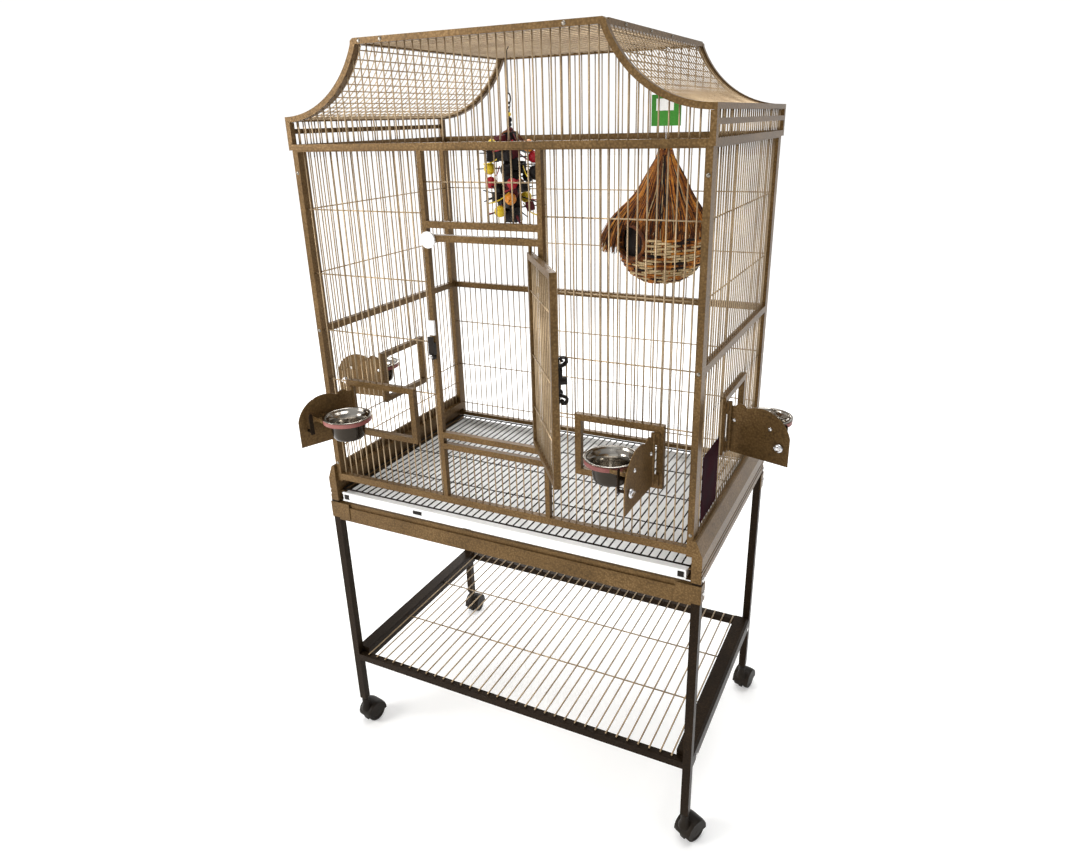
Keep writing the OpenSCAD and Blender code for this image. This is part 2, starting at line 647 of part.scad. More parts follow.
// Turn button: knob outside, spindle through the plate, tongue inside
module feeder_knob(i) color(steel) at_feeder(i) translate([knob_u, 0, knob_z]) {
    tongue = hinge_out + tube + 1;
    rotate([-90, 0, 0]) {
        translate([0, 0, -8]) cylinder(r = 9, h = 6.5);
        translate([0, 0, -3]) cylinder(r = 3, h = tongue + 3);
    }
    bar([-4, tongue, -4], [4, tongue + 2, 40]);
}

// ---------- hanging things ----------

// Wire hanger that ends in an eye round a roof wire at the given height
module hanger(z0, z1, r) {
    translate([0, 0, z0]) cylinder(r = r, h = z1 - z0 - 3);
    translate([0, 3, z1]) rotate([90, 0, 0]) difference() {
        cylinder(r = hook_bore + 2.4, h = 6);
        translate([0, 0, -1]) cylinder(r = hook_bore, h = 8);
    }
}

// Woven nest: closed body with an awning over its entrance, on a wire hanger
module nest() color(straw) translate([nest_at[0], nest_at[1], 0]) {
    body_z = 1210;
    turn = 238;
    difference() {
        union() {
            translate([0, 0, body_z]) rotate_extrude() polygon([
                [0, -88], [34, -84], [62, -66], [80, -36], [85, -4], [78, 30],
                [61, 64], [42, 94], [26, 122], [15, 144], [12, 158], [0, 160]]);
            intersection() {
                translate([0, 0, body_z + 14]) rotate([0, 0, turn]) rotate([0, 100, 0])
                    cylinder(r1 = 60, r2 = 42, h = 150);
                translate([-200, -200, body_z - 4]) cube([400, 400, 90]);
            }
        }
        translate([0, 0, body_z]) rotate_extrude() polygon([
            [0, -80], [32, -76], [57, -60], [73, -33], [78, -4], [71, 27], [54, 60], [30, 96], [0, 112]]);
        translate([0, 0, body_z - 6]) rotate([0, 0, turn]) rotate([0, 90, 0])
            cylinder(r = 28, h = 170);
    }
    hanger(body_z + 156, nest_hang_z, 1.5);
}

// Blank card tied to the nest's hanger
module nest_card() color("#2f7a2c") translate([nest_at[0], nest_at[1], 0])
    bar([-28, -2.6, 1409], [28, -1.8, 1462]);

// Hanging toy: a hanger with blocks, crossed sticks, balls and beads
module toy() color(black) translate([toy_at[0], toy_at[1], 0]) {
    levels = 7;
    rise = 25;
    foot = 1242;
    hanger(foot, mesh_z, 1.8);
    for (k = [0 : levels - 1])
        translate([0, 0, foot + rise * k]) rotate([0, 0, 52 * k]) {
            cube([34, 34, 17], center = true);
            for (s = [-1, 1]) rotate([0, s * 90, 0]) {
                cylinder(r = 2.6, h = 72);
                if (k % 2 == 0) translate([0, 0, 74]) sphere(r = 12);
                if (k % 2 == 1) translate([0, 0, 52]) cylinder(r = 9, h = 20);
            }
        }
}

stand_leg(-1, -1);  // leg_front_left
stand_leg(1, -1);  // leg_front_right
stand_leg(-1, 1);  // leg_rear_left
stand_leg(1, 1);  // leg_rear_right
stand_side_rail(-1);  // stand_rail_left
stand_side_rail(1);  // stand_rail_right
stand_cross_rail(-1);  // stand_rail_front
stand_cross_rail(1);  // stand_rail_rear
corner_brackets();
stand_bolts();
shelf_frame();
shelf_grille();
caster_sockets();
caster_hood(0);  // caster_hood_fl
caster_hood(1);  // caster_hood_fr
caster_hood(2);  // caster_hood_rl
caster_hood(3);  // caster_hood_rr
caster_wheels(0);  // caster_wheels_fl
caster_wheels(1);  // caster_wheels_fr
caster_wheels(2);  // caster_wheels_rl
caster_wheels(3);  // caster_wheels_rr
tray();
floor_grate();
front_frame();
front_wires();
back_frame();
back_wires();
side_frame(-1);  // left_frame
side_wires(-1);  // left_wires
side_frame(1);  // right_frame
side_wires(1);  // right_wires
wall_card();
gable_frame(-1);  // roof_front_gable
gable_frame(1);  // roof_rear_gable
roof_rails();
roof_gable_wires();
roof_mesh();
door_frame();
door_wires();
door_latch_plate();
door_latch_lever();
door_keeper();
door_bumper();
feeder_hinges();
feeder_door(0);  // feeder_door_fl
feeder_door(1);  // feeder_door_fr
feeder_door(2);  // feeder_door_l
feeder_door(3);  // feeder_door_r
feeder_bowl(0);  // bowl_fl
feeder_bowl(1);  // bowl_fr
feeder_bowl(2);  // bowl_l
feeder_bowl(3);  // bowl_r_side
feeder_knob(0);  // feeder_knob_fl
feeder_knob(1);  // feeder_knob_fr
feeder_knob(2);  // feeder_knob_l
feeder_knob(3);  // feeder_knob_r
nest();
nest_card();
toy();
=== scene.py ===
# The looks of a bird cage on a rolling stand: round wires, hammered bronze tubes, steel bowls,
# a woven nest and a toy. Lengths are in millimetres, and places are those of the CAD at rest.
import math
import random

import bmesh
import bpy
from mathutils import Matrix, Vector


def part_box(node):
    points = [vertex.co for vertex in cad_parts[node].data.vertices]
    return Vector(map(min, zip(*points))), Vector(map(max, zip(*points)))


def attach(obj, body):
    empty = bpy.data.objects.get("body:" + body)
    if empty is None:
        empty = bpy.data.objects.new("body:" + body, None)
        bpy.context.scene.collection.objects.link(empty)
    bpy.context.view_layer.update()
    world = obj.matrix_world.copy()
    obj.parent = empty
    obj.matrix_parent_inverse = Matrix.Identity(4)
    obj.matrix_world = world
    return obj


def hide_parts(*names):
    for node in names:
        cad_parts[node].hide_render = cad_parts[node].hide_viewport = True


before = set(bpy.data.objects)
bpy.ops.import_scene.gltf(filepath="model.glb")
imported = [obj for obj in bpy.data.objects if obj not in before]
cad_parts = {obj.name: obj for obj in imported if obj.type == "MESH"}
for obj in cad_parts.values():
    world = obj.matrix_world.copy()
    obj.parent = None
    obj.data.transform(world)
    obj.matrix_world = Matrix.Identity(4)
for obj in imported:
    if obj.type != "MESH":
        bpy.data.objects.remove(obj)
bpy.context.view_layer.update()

MM = 0.001
PI = math.pi
# turns of a shape's own z axis to -y, +x and +y
TO_FRONT = Matrix.Rotation(PI / 2, 3, "X")
TO_RIGHT = Matrix.Rotation(PI / 2, 3, "Y")
TO_BACK = Matrix(((1, 0, 0), (0, 0, 1), (0, -1, 0)))

# ---- sizes


def cad(node):
    """Lowest and highest corner of a CAD node."""
    lo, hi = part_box(node)
    return Vector(lo) / MM, Vector(hi) / MM


front_lo, front_hi = cad("front_frame")
gable_lo, gable_hi = cad("roof_front_gable")
shelf_hi = cad("shelf_frame")[1]

HALF_X, HALF_Y = front_hi.x, -front_lo.y  # half the cage's width and depth
BASE, TOP = front_lo.z, front_hi.z  # lower and upper edge of the cage's panels
TUBE = 12.0  # side of the square tubes
PANE_Z = (BASE + 15, TOP - 3)  # ends of the panels' wires
MID = (BASE + 334, BASE + 348)  # middle rail of the back and sides
CROSS = (BASE + 457, BASE + 582)  # upper cross wires
LOW = BASE + 242  # lower cross wire
JAMB = (112.5, 122.0)  # posts beside the main door
DOOR_Z = (BASE + 158, BASE + 533)  # main door's opening
FEED_Z = (BASE + 121, BASE + 240)  # feeder openings
FEED_W = 168.0  # width of a feeder opening
FEED_X = 177.0  # front feeder openings start here
SIDE_Y = 8.0  # middle of the side feeder openings
PITCH = 16.0  # from one wire to the next
WIRE_R = 1.3
ROOF_X, ROOF_Y = gable_hi.x, -gable_lo.y
RIDGE = gable_hi.z
EAVE = BASE + 750
SWEEP = 187.0  # radius of the roof's hollow sides
SWEEP_Z = EAVE + SWEEP
RIDGE_X = ROOF_X - math.sqrt(SWEEP ** 2 - (SWEEP_Z - RIDGE) ** 2)
STAND_X, STAND_Y = shelf_hi.x, shelf_hi.y
HANG_Y = 8.0  # nest and toy hang this far off the middle
NEST_HOOK = (245.82, HANG_Y, 1533.62)  # roof wire that carries the nest

# ---- mesh building


def bevel_edges(o, width, segments):
    b = o.modifiers.new("edges", "BEVEL")
    b.width, b.segments = width * MM, segments
    b.limit_method, b.angle_limit = "ANGLE", math.radians(35)
    b.harden_normals = True


def turned(at, degrees, mirror=1):
    """A function that turns a point about the z axis, or its mirror image in y, and moves it to at."""
    c, s = math.cos(math.radians(degrees)), math.sin(math.radians(degrees))

    def place(p):
        x, y = p[0], p[1] * mirror
        return (at[0] + x * c - y * s, at[1] + x * s + y * c, p[2])
    return place


class Build:
    """Collects vertices and faces in millimetres, then becomes one piece."""

    def __init__(self):
        self.points, self.faces, self.looks = [], [], []
        self.look = 0  # which of the piece's materials the next faces get

    def add(self, points, faces):
        first = len(self.points)
        self.points += [tuple(p) for p in points]
        self.faces += [tuple(i + first for i in face) for face in faces]
        self.looks += [self.look] * len(faces)

    def move(self, place):
        """Sends every point through the function place."""
        self.points = [place(p) for p in self.points]

    def tube(self, pts, r, n=8, closed=False, flat=1.0):
        """A round wire along pts. r is one radius or a list, and flat thins it across."""
        pts = [Vector(p) for p in pts]
        rs = r if hasattr(r, "__len__") else [r] * len(pts)
        count = len(pts)
        along = []
        for i in range(count):
            if closed:
                t = pts[(i + 1) % count] - pts[i - 1]
            else:
                t = pts[min(i + 1, count - 1)] - pts[max(i - 1, 0)]
            along.append(t.normalized())
        side = along[0].orthogonal().normalized()
        points = []
        for i in range(count):
            side = side - along[i] * side.dot(along[i])
            side = side.normalized() if side.length > 1e-9 else along[i].orthogonal().normalized()
            up = along[i].cross(side)
            for k in range(n):
                a = 2 * PI * (k + 0.5) / n
                points.append(pts[i] + side * (math.cos(a) * rs[i]) + up * (math.sin(a) * rs[i] * flat))
        faces = []
        for i in range(count if closed else count - 1):
            j = (i + 1) % count
            for k in range(n):
                m = (k + 1) % n
                faces.append((i * n + k, i * n + m, j * n + m, j * n + k))
        if not closed:
            faces.append(tuple(reversed(range(n))))
            faces.append(tuple((count - 1) * n + k for k in range(n)))
        self.add(points, faces)

    def lathe(self, profile, at=(0, 0, 0), n=48, basis=None):
        """Turns (radius, height) points round the z axis. basis tips the shape, at moves it."""
        basis = basis or Matrix.Identity(3)
        at = Vector(at)
        points, rings = [], []
        for r, z in profile:
            size = 1 if abs(r) < 1e-6 else n
            rings.append(range(len(points), len(points) + size))
            for k in range(size):
                a = 2 * PI * k / n
                points.append(at + basis @ Vector((r * math.cos(a), r * math.sin(a), z)))
        faces = []
        for p, q in zip(rings, rings[1:]):
            for k in range(n):
                a, b = p[k % len(p)], p[(k + 1) % len(p)]
                c, d = q[(k + 1) % len(q)], q[k % len(q)]
                if len(p) == 1:
                    faces.append((a, c, d))
                elif len(q) == 1:
                    faces.append((a, b, c))
                else:
                    faces.append((a, b, c, d))
        self.add(points, faces)

    def box(self, lo, hi, basis=None, at=(0, 0, 0)):
        basis = basis or Matrix.Identity(3)
        at = Vector(at)
        ends = list(zip(lo, hi))
        corners = [at + basis @ Vector((x, y, z)) for x in ends[0] for y in ends[1] for z in ends[2]]
        self.add(corners, [(0, 1, 3, 2), (4, 6, 7, 5), (0, 4, 5, 1), (2, 3, 7, 6), (0, 2, 6, 4),
                           (1, 5, 7, 3)])

    def prism(self, outline, h0, h1, basis=None, at=(0, 0, 0)):
        basis = basis or Matrix.Identity(3)
        at = Vector(at)
        n = len(outline)
        points = [at + basis @ Vector((x, y, h)) for h in (h0, h1) for x, y in outline]
        faces = [tuple(reversed(range(n))), tuple(range(n, 2 * n))]
        faces += [(k, (k + 1) % n, n + (k + 1) % n, n + k) for k in range(n)]
        self.add(points, faces)

    def piece(self, name, body, mats, bevel=0.0, stands_for=(), sharp=40):
        """One visible piece on a CAD body, in place of the CAD nodes that it stands for."""
        me = bpy.data.meshes.new(name)
        me.from_pydata([(x * MM, y * MM, z * MM) for x, y, z in self.points], [], self.faces)
        me.update()
        o = bpy.data.objects.new(name, me)
        bpy.context.scene.collection.objects.link(o)
        for material in (mats if isinstance(mats, list) else [mats]):
            me.materials.append(material)
        me.polygons.foreach_set("material_index", self.looks)
        bm = bmesh.new()
        bm.from_mesh(me)
        bmesh.ops.recalc_face_normals(bm, faces=bm.faces)
        for e in bm.edges:
            if len(e.link_faces) == 2 and e.calc_face_angle(0) > math.radians(sharp):
                e.smooth = False
        bm.to_mesh(me)
        bm.free()
        me.polygons.foreach_set("use_smooth", [True] * len(me.polygons))
        if bevel:
            bevel_edges(o, bevel, 2)
        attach(o, body)
        if stands_for:
            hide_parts(*stands_for)
        return o


# ---- materials


class Mat:
    """A Principled material with helpers for procedural inputs."""

    def __init__(self, name, **sockets):
        self.material = bpy.data.materials.new(name)
        self.material.use_nodes = True
        self.tree = self.material.node_tree
        self.shader = self.tree.nodes["Principled BSDF"]
        for key, value in sockets.items():
            self.shader.inputs[key.replace("_", " ")].default_value = value
        self.place = self.node("ShaderNodeTexCoord").outputs["Object"]

    def node(self, kind, **props):
        n = self.tree.nodes.new(kind)
        for key, value in props.items():
            setattr(n, key, value)
        return n

    def link(self, a, b):
        self.tree.links.new(a, b)

    def stretched(self, scale):
        n = self.node("ShaderNodeMapping")
        n.inputs["Scale"].default_value = scale
        self.link(self.place, n.inputs["Vector"])
        return n.outputs["Vector"]

    def noise(self, scale, detail=3.0, rough=0.55, place=None, distortion=0.0):
        n = self.node("ShaderNodeTexNoise")
        n.inputs["Scale"].default_value = scale
        n.inputs["Detail"].default_value = detail
        n.inputs["Roughness"].default_value = rough
        n.inputs["Distortion"].default_value = distortion
        self.link(place or self.place, n.inputs["Vector"])
        return n.outputs["Fac"]

    def cells(self, scale):
        n = self.node("ShaderNodeTexVoronoi", feature="SMOOTH_F1")
        n.inputs["Scale"].default_value = scale
        n.inputs["Smoothness"].default_value = 0.6
        self.link(self.place, n.inputs["Vector"])
        return n.outputs["Distance"]

    def ramp(self, value, stops):
        n = self.node("ShaderNodeValToRGB")
        elements = n.color_ramp.elements
        while len(elements) < len(stops):
            elements.new(0.5)
        for element, (at, colour) in zip(elements, stops):
            element.position = at
            element.color = (*colour, 1.0)
        self.link(value, n.inputs["Fac"])
        return n.outputs["Color"]

    def math(self, op, a, b):
        n = self.node("ShaderNodeMath", operation=op)
        for i, x in enumerate((a, b)):
            if isinstance(x, (int, float)):
                n.inputs[i].default_value = x
            else:
                self.link(x, n.inputs[i])
        return n.outputs[0]

    def weigh(self, a, part_a, b, part_b):
        """The sum of two values, each times its part."""
        return self.math("ADD", self.math("MULTIPLY", a, part_a), self.math("MULTIPLY", b, part_b))

    def spread(self, value, from_low, from_high, to_low, to_high):
        n = self.node("ShaderNodeMapRange")
        for i, x in enumerate((from_low, from_high, to_low, to_high)):
            n.inputs[i + 1].default_value = x
        self.link(value, n.inputs[0])
        return n.outputs[0]

    def colour(self, c):
        self.link(c, self.shader.inputs["Base Color"])

    def roughness(self, v):
        self.link(v, self.shader.inputs["Roughness"])

    def bump(self, h, strength, distance):
        n = self.node("ShaderNodeBump")
        n.inputs["Strength"].default_value = strength
        n.inputs["Distance"].default_value = distance
        self.link(h, n.inputs["Height"])
        self.link(n.outputs["Normal"], self.shader.inputs["Normal"])


def hammered(name, dark, mid, light, spec):
    """Powder coat with a hammered texture: small dents, a fine grain and large faint patches."""
    m = Mat(name, Metallic=0.3, Specular_IOR_Level=spec)
    dents = m.cells(260.0)
    fine = m.noise(900.0)
    patch = m.noise(11.0, 3.0, 0.5)
    mix = m.math("ADD", m.weigh(dents, 0.40, fine, 0.25), m.math("MULTIPLY", patch, 0.45))
    # tone varies at random through the dents, grain and patches; the lightest stop, in the middle of each
    # dent, is a painted highlight
    m.colour(m.ramp(mix, [(0.22, light), (0.50, mid), (0.95, dark)]))
    m.roughness(m.spread(fine, 0.3, 0.7, 0.27, 0.46))
    m.bump(m.math("ADD", dents, m.math("MULTIPLY", fine, 0.35)), 0.35, 0.0005)
    return m.material


bronze = hammered("hammered_bronze", (0.028, 0.016, 0.006), (0.128, 0.074, 0.027),
                  (0.240, 0.148, 0.064), 0.14)
# a darker copy of the same bronze as painted shade, for the legs, the shelf frame and the turn buttons'
# shafts and tongues
bronze_painted_shade = hammered("hammered_bronze_dark", (0.006, 0.004, 0.002), (0.018, 0.011, 0.006),
                       (0.040, 0.024, 0.011), 0.06)


def wire_paint(name, dark, light):
    m = Mat(name, Metallic=0.45, Coat_Weight=0.05, Coat_Roughness=0.3, Specular_IOR_Level=0.3)
    big, fine = m.noise(14.0), m.noise(520.0)
    m.colour(m.ramp(m.weigh(big, 0.6, fine, 0.4), [(0.36, dark), (0.62, light)]))
    m.roughness(m.spread(fine, 0.3, 0.7, 0.26, 0.44))
    m.bump(fine, 0.25, 0.0002)
    return m.material


wire = wire_paint("bronze_wire", (0.255, 0.175, 0.095), (0.465, 0.345, 0.210))
# the floor grate's wires take a near-black copy of the wire paint, as painted shade
grate_wire_painted_shade = wire_paint("dark_wire_painted_shade", (0.006, 0.005, 0.003), (0.022, 0.015, 0.010))


def steel(name, tint, rough, streaks=0.12):
    """Drawn steel: fine streaks across the z axis, and smudges."""
    m = Mat(name, Metallic=1.0, Roughness=rough)
    streak = m.noise(60.0, 5.0, 0.7, m.stretched((1.0, 1.0, 26.0)))
    smudge = m.noise(24.0, 4.0)
    m.colour(m.ramp(m.weigh(streak, 0.5, smudge, 0.5), [(0.3, tuple(c * 0.72 for c in tint)), (0.7, tint)]))
    m.roughness(m.spread(m.math("ADD", streak, smudge), 0.6, 1.4, rough * 0.6, rough * 1.8))
    m.bump(streak, streaks, 0.0002)
    return m.material


stainless = steel("stainless", (0.46, 0.43, 0.385), 0.12)
# a near-black copy of the stainless for the bowls' outsides, as painted shade
stainless_painted_shade = steel("stainless_painted_shade", (0.050, 0.042, 0.034), 0.16)
chrome = steel("chrome", (0.80, 0.80, 0.82), 0.08, 0.04)
bolt_steel = steel("bright_bolt", (0.72, 0.71, 0.70), 0.2)
screw_steel = steel("frame_screw", (0.30, 0.27, 0.23), 0.25)


def plastic(name, dark, light, rough=0.4, grain=900.0, strength=0.15, coat=0.0, patches=18.0):
    """Moulded plastic, cast metal or printed card, by its grain and gloss."""
    m = Mat(name, Coat_Weight=coat, Coat_Roughness=0.15, Specular_IOR_Level=0.14)
    big, fine = m.noise(patches, 4.0), m.noise(grain, 3.0)
    m.colour(m.ramp(m.weigh(big, 0.7, fine, 0.3), [(0.35, dark), (0.65, light)]))
    m.roughness(m.spread(big, 0.3, 0.7, rough - 0.08, rough + 0.1))
    m.bump(fine, strength, 0.0003)
    return m.material


nylon = plastic("caster_nylon", (0.007, 0.005, 0.003), (0.018, 0.012, 0.007), 0.45)
tread = plastic("caster_tread", (0.008, 0.006, 0.004), (0.022, 0.017, 0.012), 0.5, 500.0, 0.35)
black_cast = plastic("black_cast", (0.006, 0.004, 0.003), (0.018, 0.013, 0.009), 0.34, 260.0, 0.5)
white_plastic = plastic("white_plastic", (0.80, 0.79, 0.77), (0.88, 0.88, 0.87), 0.3)
tray_white = plastic("tray_white", (0.86, 0.855, 0.84), (0.93, 0.93, 0.92), 0.33, 260.0, 0.1, 0.15, 5.0)
card_green = plastic("card_green", (0.030, 0.16, 0.020), (0.055, 0.25, 0.035), 0.45, 400.0, 0.1)
card_maroon = plastic("card_maroon", (0.010, 0.001, 0.003), (0.030, 0.004, 0.008), 0.8, 400.0, 0.1)
card_maroon.node_tree.nodes["Principled BSDF"].inputs["Specular IOR Level"].default_value = 0.03
card_white = plastic("card_white", (0.70, 0.70, 0.68), (0.84, 0.84, 0.82), 0.45, 400.0, 0.1)
ring_pink = plastic("ring_band", (0.20, 0.060, 0.055), (0.36, 0.15, 0.13), 0.4, 500.0, 0.15, 0.1)


def fibre(name, dark, mid, light):
    """Dry plant fibre, with strands along the z axis."""
    m = Mat(name, Sheen_Weight=0.1, Sheen_Roughness=0.5, Specular_IOR_Level=0.15)
    strand = m.noise(420.0, 4.0, 0.7, m.stretched((1.0, 1.0, 0.12)))
    big = m.noise(30.0)
    m.colour(m.ramp(m.weigh(strand, 0.55, big, 0.45), [(0.33, dark), (0.5, mid), (0.68, light)]))
    m.roughness(m.spread(strand, 0.3, 0.7, 0.55, 0.85))
    m.bump(strand, 0.5, 0.0008)
    return m.material


husk = fibre("nest_husk", (0.016, 0.004, 0.002), (0.105, 0.028, 0.005), (0.38, 0.145, 0.026))
straw_orange = fibre("nest_orange", (0.10, 0.026, 0.004), (0.42, 0.14, 0.018), (0.76, 0.36, 0.055))
straw_pale = fibre("nest_pale", (0.24, 0.14, 0.06), (0.50, 0.36, 0.18), (0.76, 0.62, 0.38))
# near-black, for dark strands in the weave and the hanging fibres, and as painted shade in the nest's hollow
nest_near_black_and_painted_shade = fibre("nest_dark", (0.003, 0.001, 0.001), (0.009, 0.003, 0.002), (0.026, 0.012, 0.006))


def wood(name, dark, light, rough=0.5, coat=0.0):
    """Dyed wood, its grain along x and y."""
    m = Mat(name, Coat_Weight=coat, Specular_IOR_Level=0.2)
    grain = m.noise(120.0, 6.0, 0.65, m.stretched((1.0, 1.0, 6.0)), 0.6)
    fine = m.noise(800.0)
    m.colour(m.ramp(grain, [(0.35, dark), (0.65, light)]))
    m.roughness(m.spread(grain, 0.3, 0.7, rough - 0.1, rough + 0.12))
    m.bump(m.math("ADD", grain, m.math("MULTIPLY", fine, 0.3)), 0.3, 0.0004)
    return m.material


toy_black = wood("toy_black", (0.003, 0.002, 0.002), (0.012, 0.009, 0.008))
toy_maroon = wood("toy_maroon", (0.035, 0.004, 0.006), (0.11, 0.010, 0.014))
toy_red = wood("toy_red", (0.26, 0.006, 0.014), (0.46, 0.014, 0.026), 0.35, 0.15)
toy_yellow = wood("toy_yellow", (0.60, 0.40, 0.010), (0.84, 0.62, 0.04), 0.35, 0.15)
toy_orange = wood("toy_orange", (0.50, 0.15, 0.010), (0.74, 0.28, 0.03), 0.35, 0.15)

# ---- carried-over CAD nodes


def dress(mat, bevel, *names):
    for name in names:
        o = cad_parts[name]
        for s in o.material_slots:
            s.material = mat
        bevel_edges(o, bevel, 3)


dress(bronze, 1.3, "front_frame", "back_frame", "left_frame", "right_frame", "roof_front_gable",
      "roof_rear_gable", "roof_rails", "stand_rail_left", "stand_rail_right", "stand_rail_front",
      "stand_rail_rear", "door_frame")
# legs and shelf frame take the painted-shade copy of the bronze
dress(bronze_painted_shade, 1.5, "leg_front_left", "leg_front_right", "leg_rear_left", "leg_rear_right", "shelf_frame")
dress(bronze, 0.5, "corner_brackets", "feeder_hinges", "feeder_door_fl", "feeder_door_fr",
      "feeder_door_l", "feeder_door_r")
dress(nylon, 0.5, "caster_sockets")
dress(card_maroon, 0.3, "wall_card")
dress(white_plastic, 0.8, "door_bumper")
dress(black_cast, 0.6, "door_keeper", "door_latch_lever")
dress(bolt_steel, 0.4, "stand_bolts")

# ---- wires


def steps(a, b, pitch=PITCH):
    """Places of evenly pitched wires between a and b, counted from the middle."""
    gap = 2.5
    first, last = math.ceil((a + gap) / pitch), math.floor((b - gap) / pitch)
    return [k * pitch for k in range(first, last + 1)]


def panel(b, plane, at, u, z, cross, inward):
    """Upright wires in one plane, between the pairs u and z, with cross wires on their inner side."""
    def place(u_, z_, off=0.0):
        return (u_, at + off * inward, z_) if plane == "xz" else (at + off * inward, u_, z_)
    into_frame = 1.5
    behind = 2 * WIRE_R - 0.4
    for u_ in steps(*u):
        b.tube([place(u_, z[0] - into_frame), place(u_, z[1] + into_frame)], WIRE_R)
    for z_ in cross:
        if z[0] + 4 < z_ < z[1] - 4:
            b.tube([place(u[0] - into_frame, z_, behind), place(u[1] + into_frame, z_, behind)], WIRE_R)


def front_grille():
    b = Build()
    y = -HALF_Y + TUBE / 2
    jamb, end = JAMB[1], HALF_X - TUBE
    feed = (FEED_X, FEED_X + FEED_W)
    feed_cross = [FEED_Z[1] - 6]
    for s in (-1, 1):
        def span(u0, u1):
            return sorted((s * u0, s * u1))
        panel(b, "xz", y, span(jamb, end), (FEED_Z[1], PANE_Z[1]), [*CROSS, sum(MID) / 2], 1)
        panel(b, "xz", y, span(jamb, end), (PANE_Z[0], FEED_Z[0]), [], 1)
        panel(b, "xz", y, span(jamb, feed[0]), FEED_Z, feed_cross, 1)
        panel(b, "xz", y, span(feed[1], end), FEED_Z, feed_cross, 1)
    door_rail = 24 + TUBE
    panel(b, "xz", y, (-JAMB[0], JAMB[0]), (DOOR_Z[1] + door_rail, PANE_Z[1]), [BASE + 636], 1)
    panel(b, "xz", y, (-JAMB[0], JAMB[0]), (PANE_Z[0], DOOR_Z[0] - door_rail), [], 1)
    b.piece("front_grille", "cage", wire, stands_for=["front_wires"])


def back_grille():
    b = Build()
    y = HALF_Y - TUBE / 2
    x = HALF_X - TUBE
    panel(b, "xz", y, (-x, x), (MID[1], PANE_Z[1]), CROSS, -1)
    panel(b, "xz", y, (-x, x), (BASE - 14, MID[0]), [BASE + 13, FEED_Z[0] + 3, LOW], -1)
    b.piece("back_grille", "cage", wire, stands_for=["back_wires"])


def side_grille(side, s):
    b = Build()
    x = s * (HALF_X - TUBE / 2)
    y = HALF_Y - 2 * TUBE
    feed = (SIDE_Y - FEED_W / 2, SIDE_Y + FEED_W / 2)
    panel(b, "yz", x, (-y, y), (MID[1], PANE_Z[1]), CROSS, -s)
    panel(b, "yz", x, (-y, y), (FEED_Z[1], MID[0]), [LOW + 2], -s)
    panel(b, "yz", x, (-y, y), (PANE_Z[0], FEED_Z[0]), [PANE_Z[0] + 60], -s)
    panel(b, "yz", x, (-y, feed[0]), FEED_Z, [FEED_Z[0] + 5], -s)
    panel(b, "yz", x, (feed[1], y), FEED_Z, [FEED_Z[0] + 5], -s)
    b.piece(side + "_grille", "cage", wire, stands_for=[side + "_wires"])


front_grille()
back_grille()
side_grille("left", -1)
side_grille("right", 1)

# ---- roof


def gable_wires():
    """Upright wires up to the hollow sides, and the short wires of the bands at the eaves."""
    b = Build()
    foot = TOP + 9
    under_tube = 9
    for end in (-1, 1):
        y = end * (ROOF_Y - TUBE / 2)
        for x in steps(-ROOF_X + 10, ROOF_X - 10):
            if abs(x) < RIDGE_X:
                top = RIDGE - under_tube
            else:
                top = SWEEP_Z - math.sqrt((SWEEP + under_tube) ** 2 - (ROOF_X - abs(x)) ** 2)
            if top - TOP > 14:
                b.tube([(x, y, foot), (x, y, min(top, RIDGE - under_tube))], WIRE_R)
    for s in (-1, 1):
        x = s * (ROOF_X - TUBE / 2)
        for y in steps(-(ROOF_Y - TUBE), ROOF_Y - TUBE):
            b.tube([(x, y, foot), (x, y, EAVE - 8)], WIRE_R)
    b.piece("gable_wires", "cage", wire, stands_for=["roof_gable_wires"])


NET_R = SWEEP + 4.5  # the bent net's radius
NET_LOW = math.asin((TUBE - 2) / NET_R)  # and the angles where it starts and ends
NET_TOP = math.acos((SWEEP_Z - RIDGE + 6) / NET_R)


def on_sweep(s, a, y, r=NET_R):
    """A point on the roof's hollow side s, at the angle a from straight down."""
    return (s * (ROOF_X - r * math.sin(a)), y, SWEEP_Z - r * math.cos(a))


def roof_net():
    """A bent sheet of crossing wires on each hollow side, and a flat one on the ridge."""
    b = Build()
    y = ROOF_Y - TUBE
    arc = [NET_LOW + (NET_TOP - NET_LOW) * k / 22 for k in range(23)]
    hook_a = math.atan2(ROOF_X - NEST_HOOK[0], SWEEP_Z - NEST_HOOK[2])
    lengthwise = [hook_a + k * PITCH / NET_R for k in range(-16, 4)]
    for s in (-1, 1):
        for u in steps(-y, y):
            b.tube([on_sweep(s, a, u) for a in arc], 0.9)
        for a in lengthwise:
            if NET_LOW + 0.03 < a < NET_TOP - 0.02:
                b.tube([on_sweep(s, a, -y, NET_R + 2.1), on_sweep(s, a, y, NET_R + 2.1)], 1.15)
    x = RIDGE_X - 7
    for u in steps(-y, y):
        b.tube([(-x, u, RIDGE - 4.2), (x, u, RIDGE - 4.2)], 0.85)
    for u in steps(-x, x):
        b.tube([(u, -y, RIDGE - 6.4), (u, y, RIDGE - 6.4)], 1.15)
    b.piece("roof_net", "cage", wire, stands_for=["roof_mesh"])


def roof_net_edges():
    """Slim tubes along the ends of the bent nets, just inside each gable."""
    b = Build()
    arc = [NET_LOW + (NET_TOP - NET_LOW) * k / 30 for k in range(31)]
    for s in (-1, 1):
        for end in (-1, 1):
            y = end * (ROOF_Y - TUBE - 4)
            b.tube([on_sweep(s, a, y, NET_R + 1) for a in arc], 3.4, 10)
    b.piece("roof_net_edges", "cage", bronze)


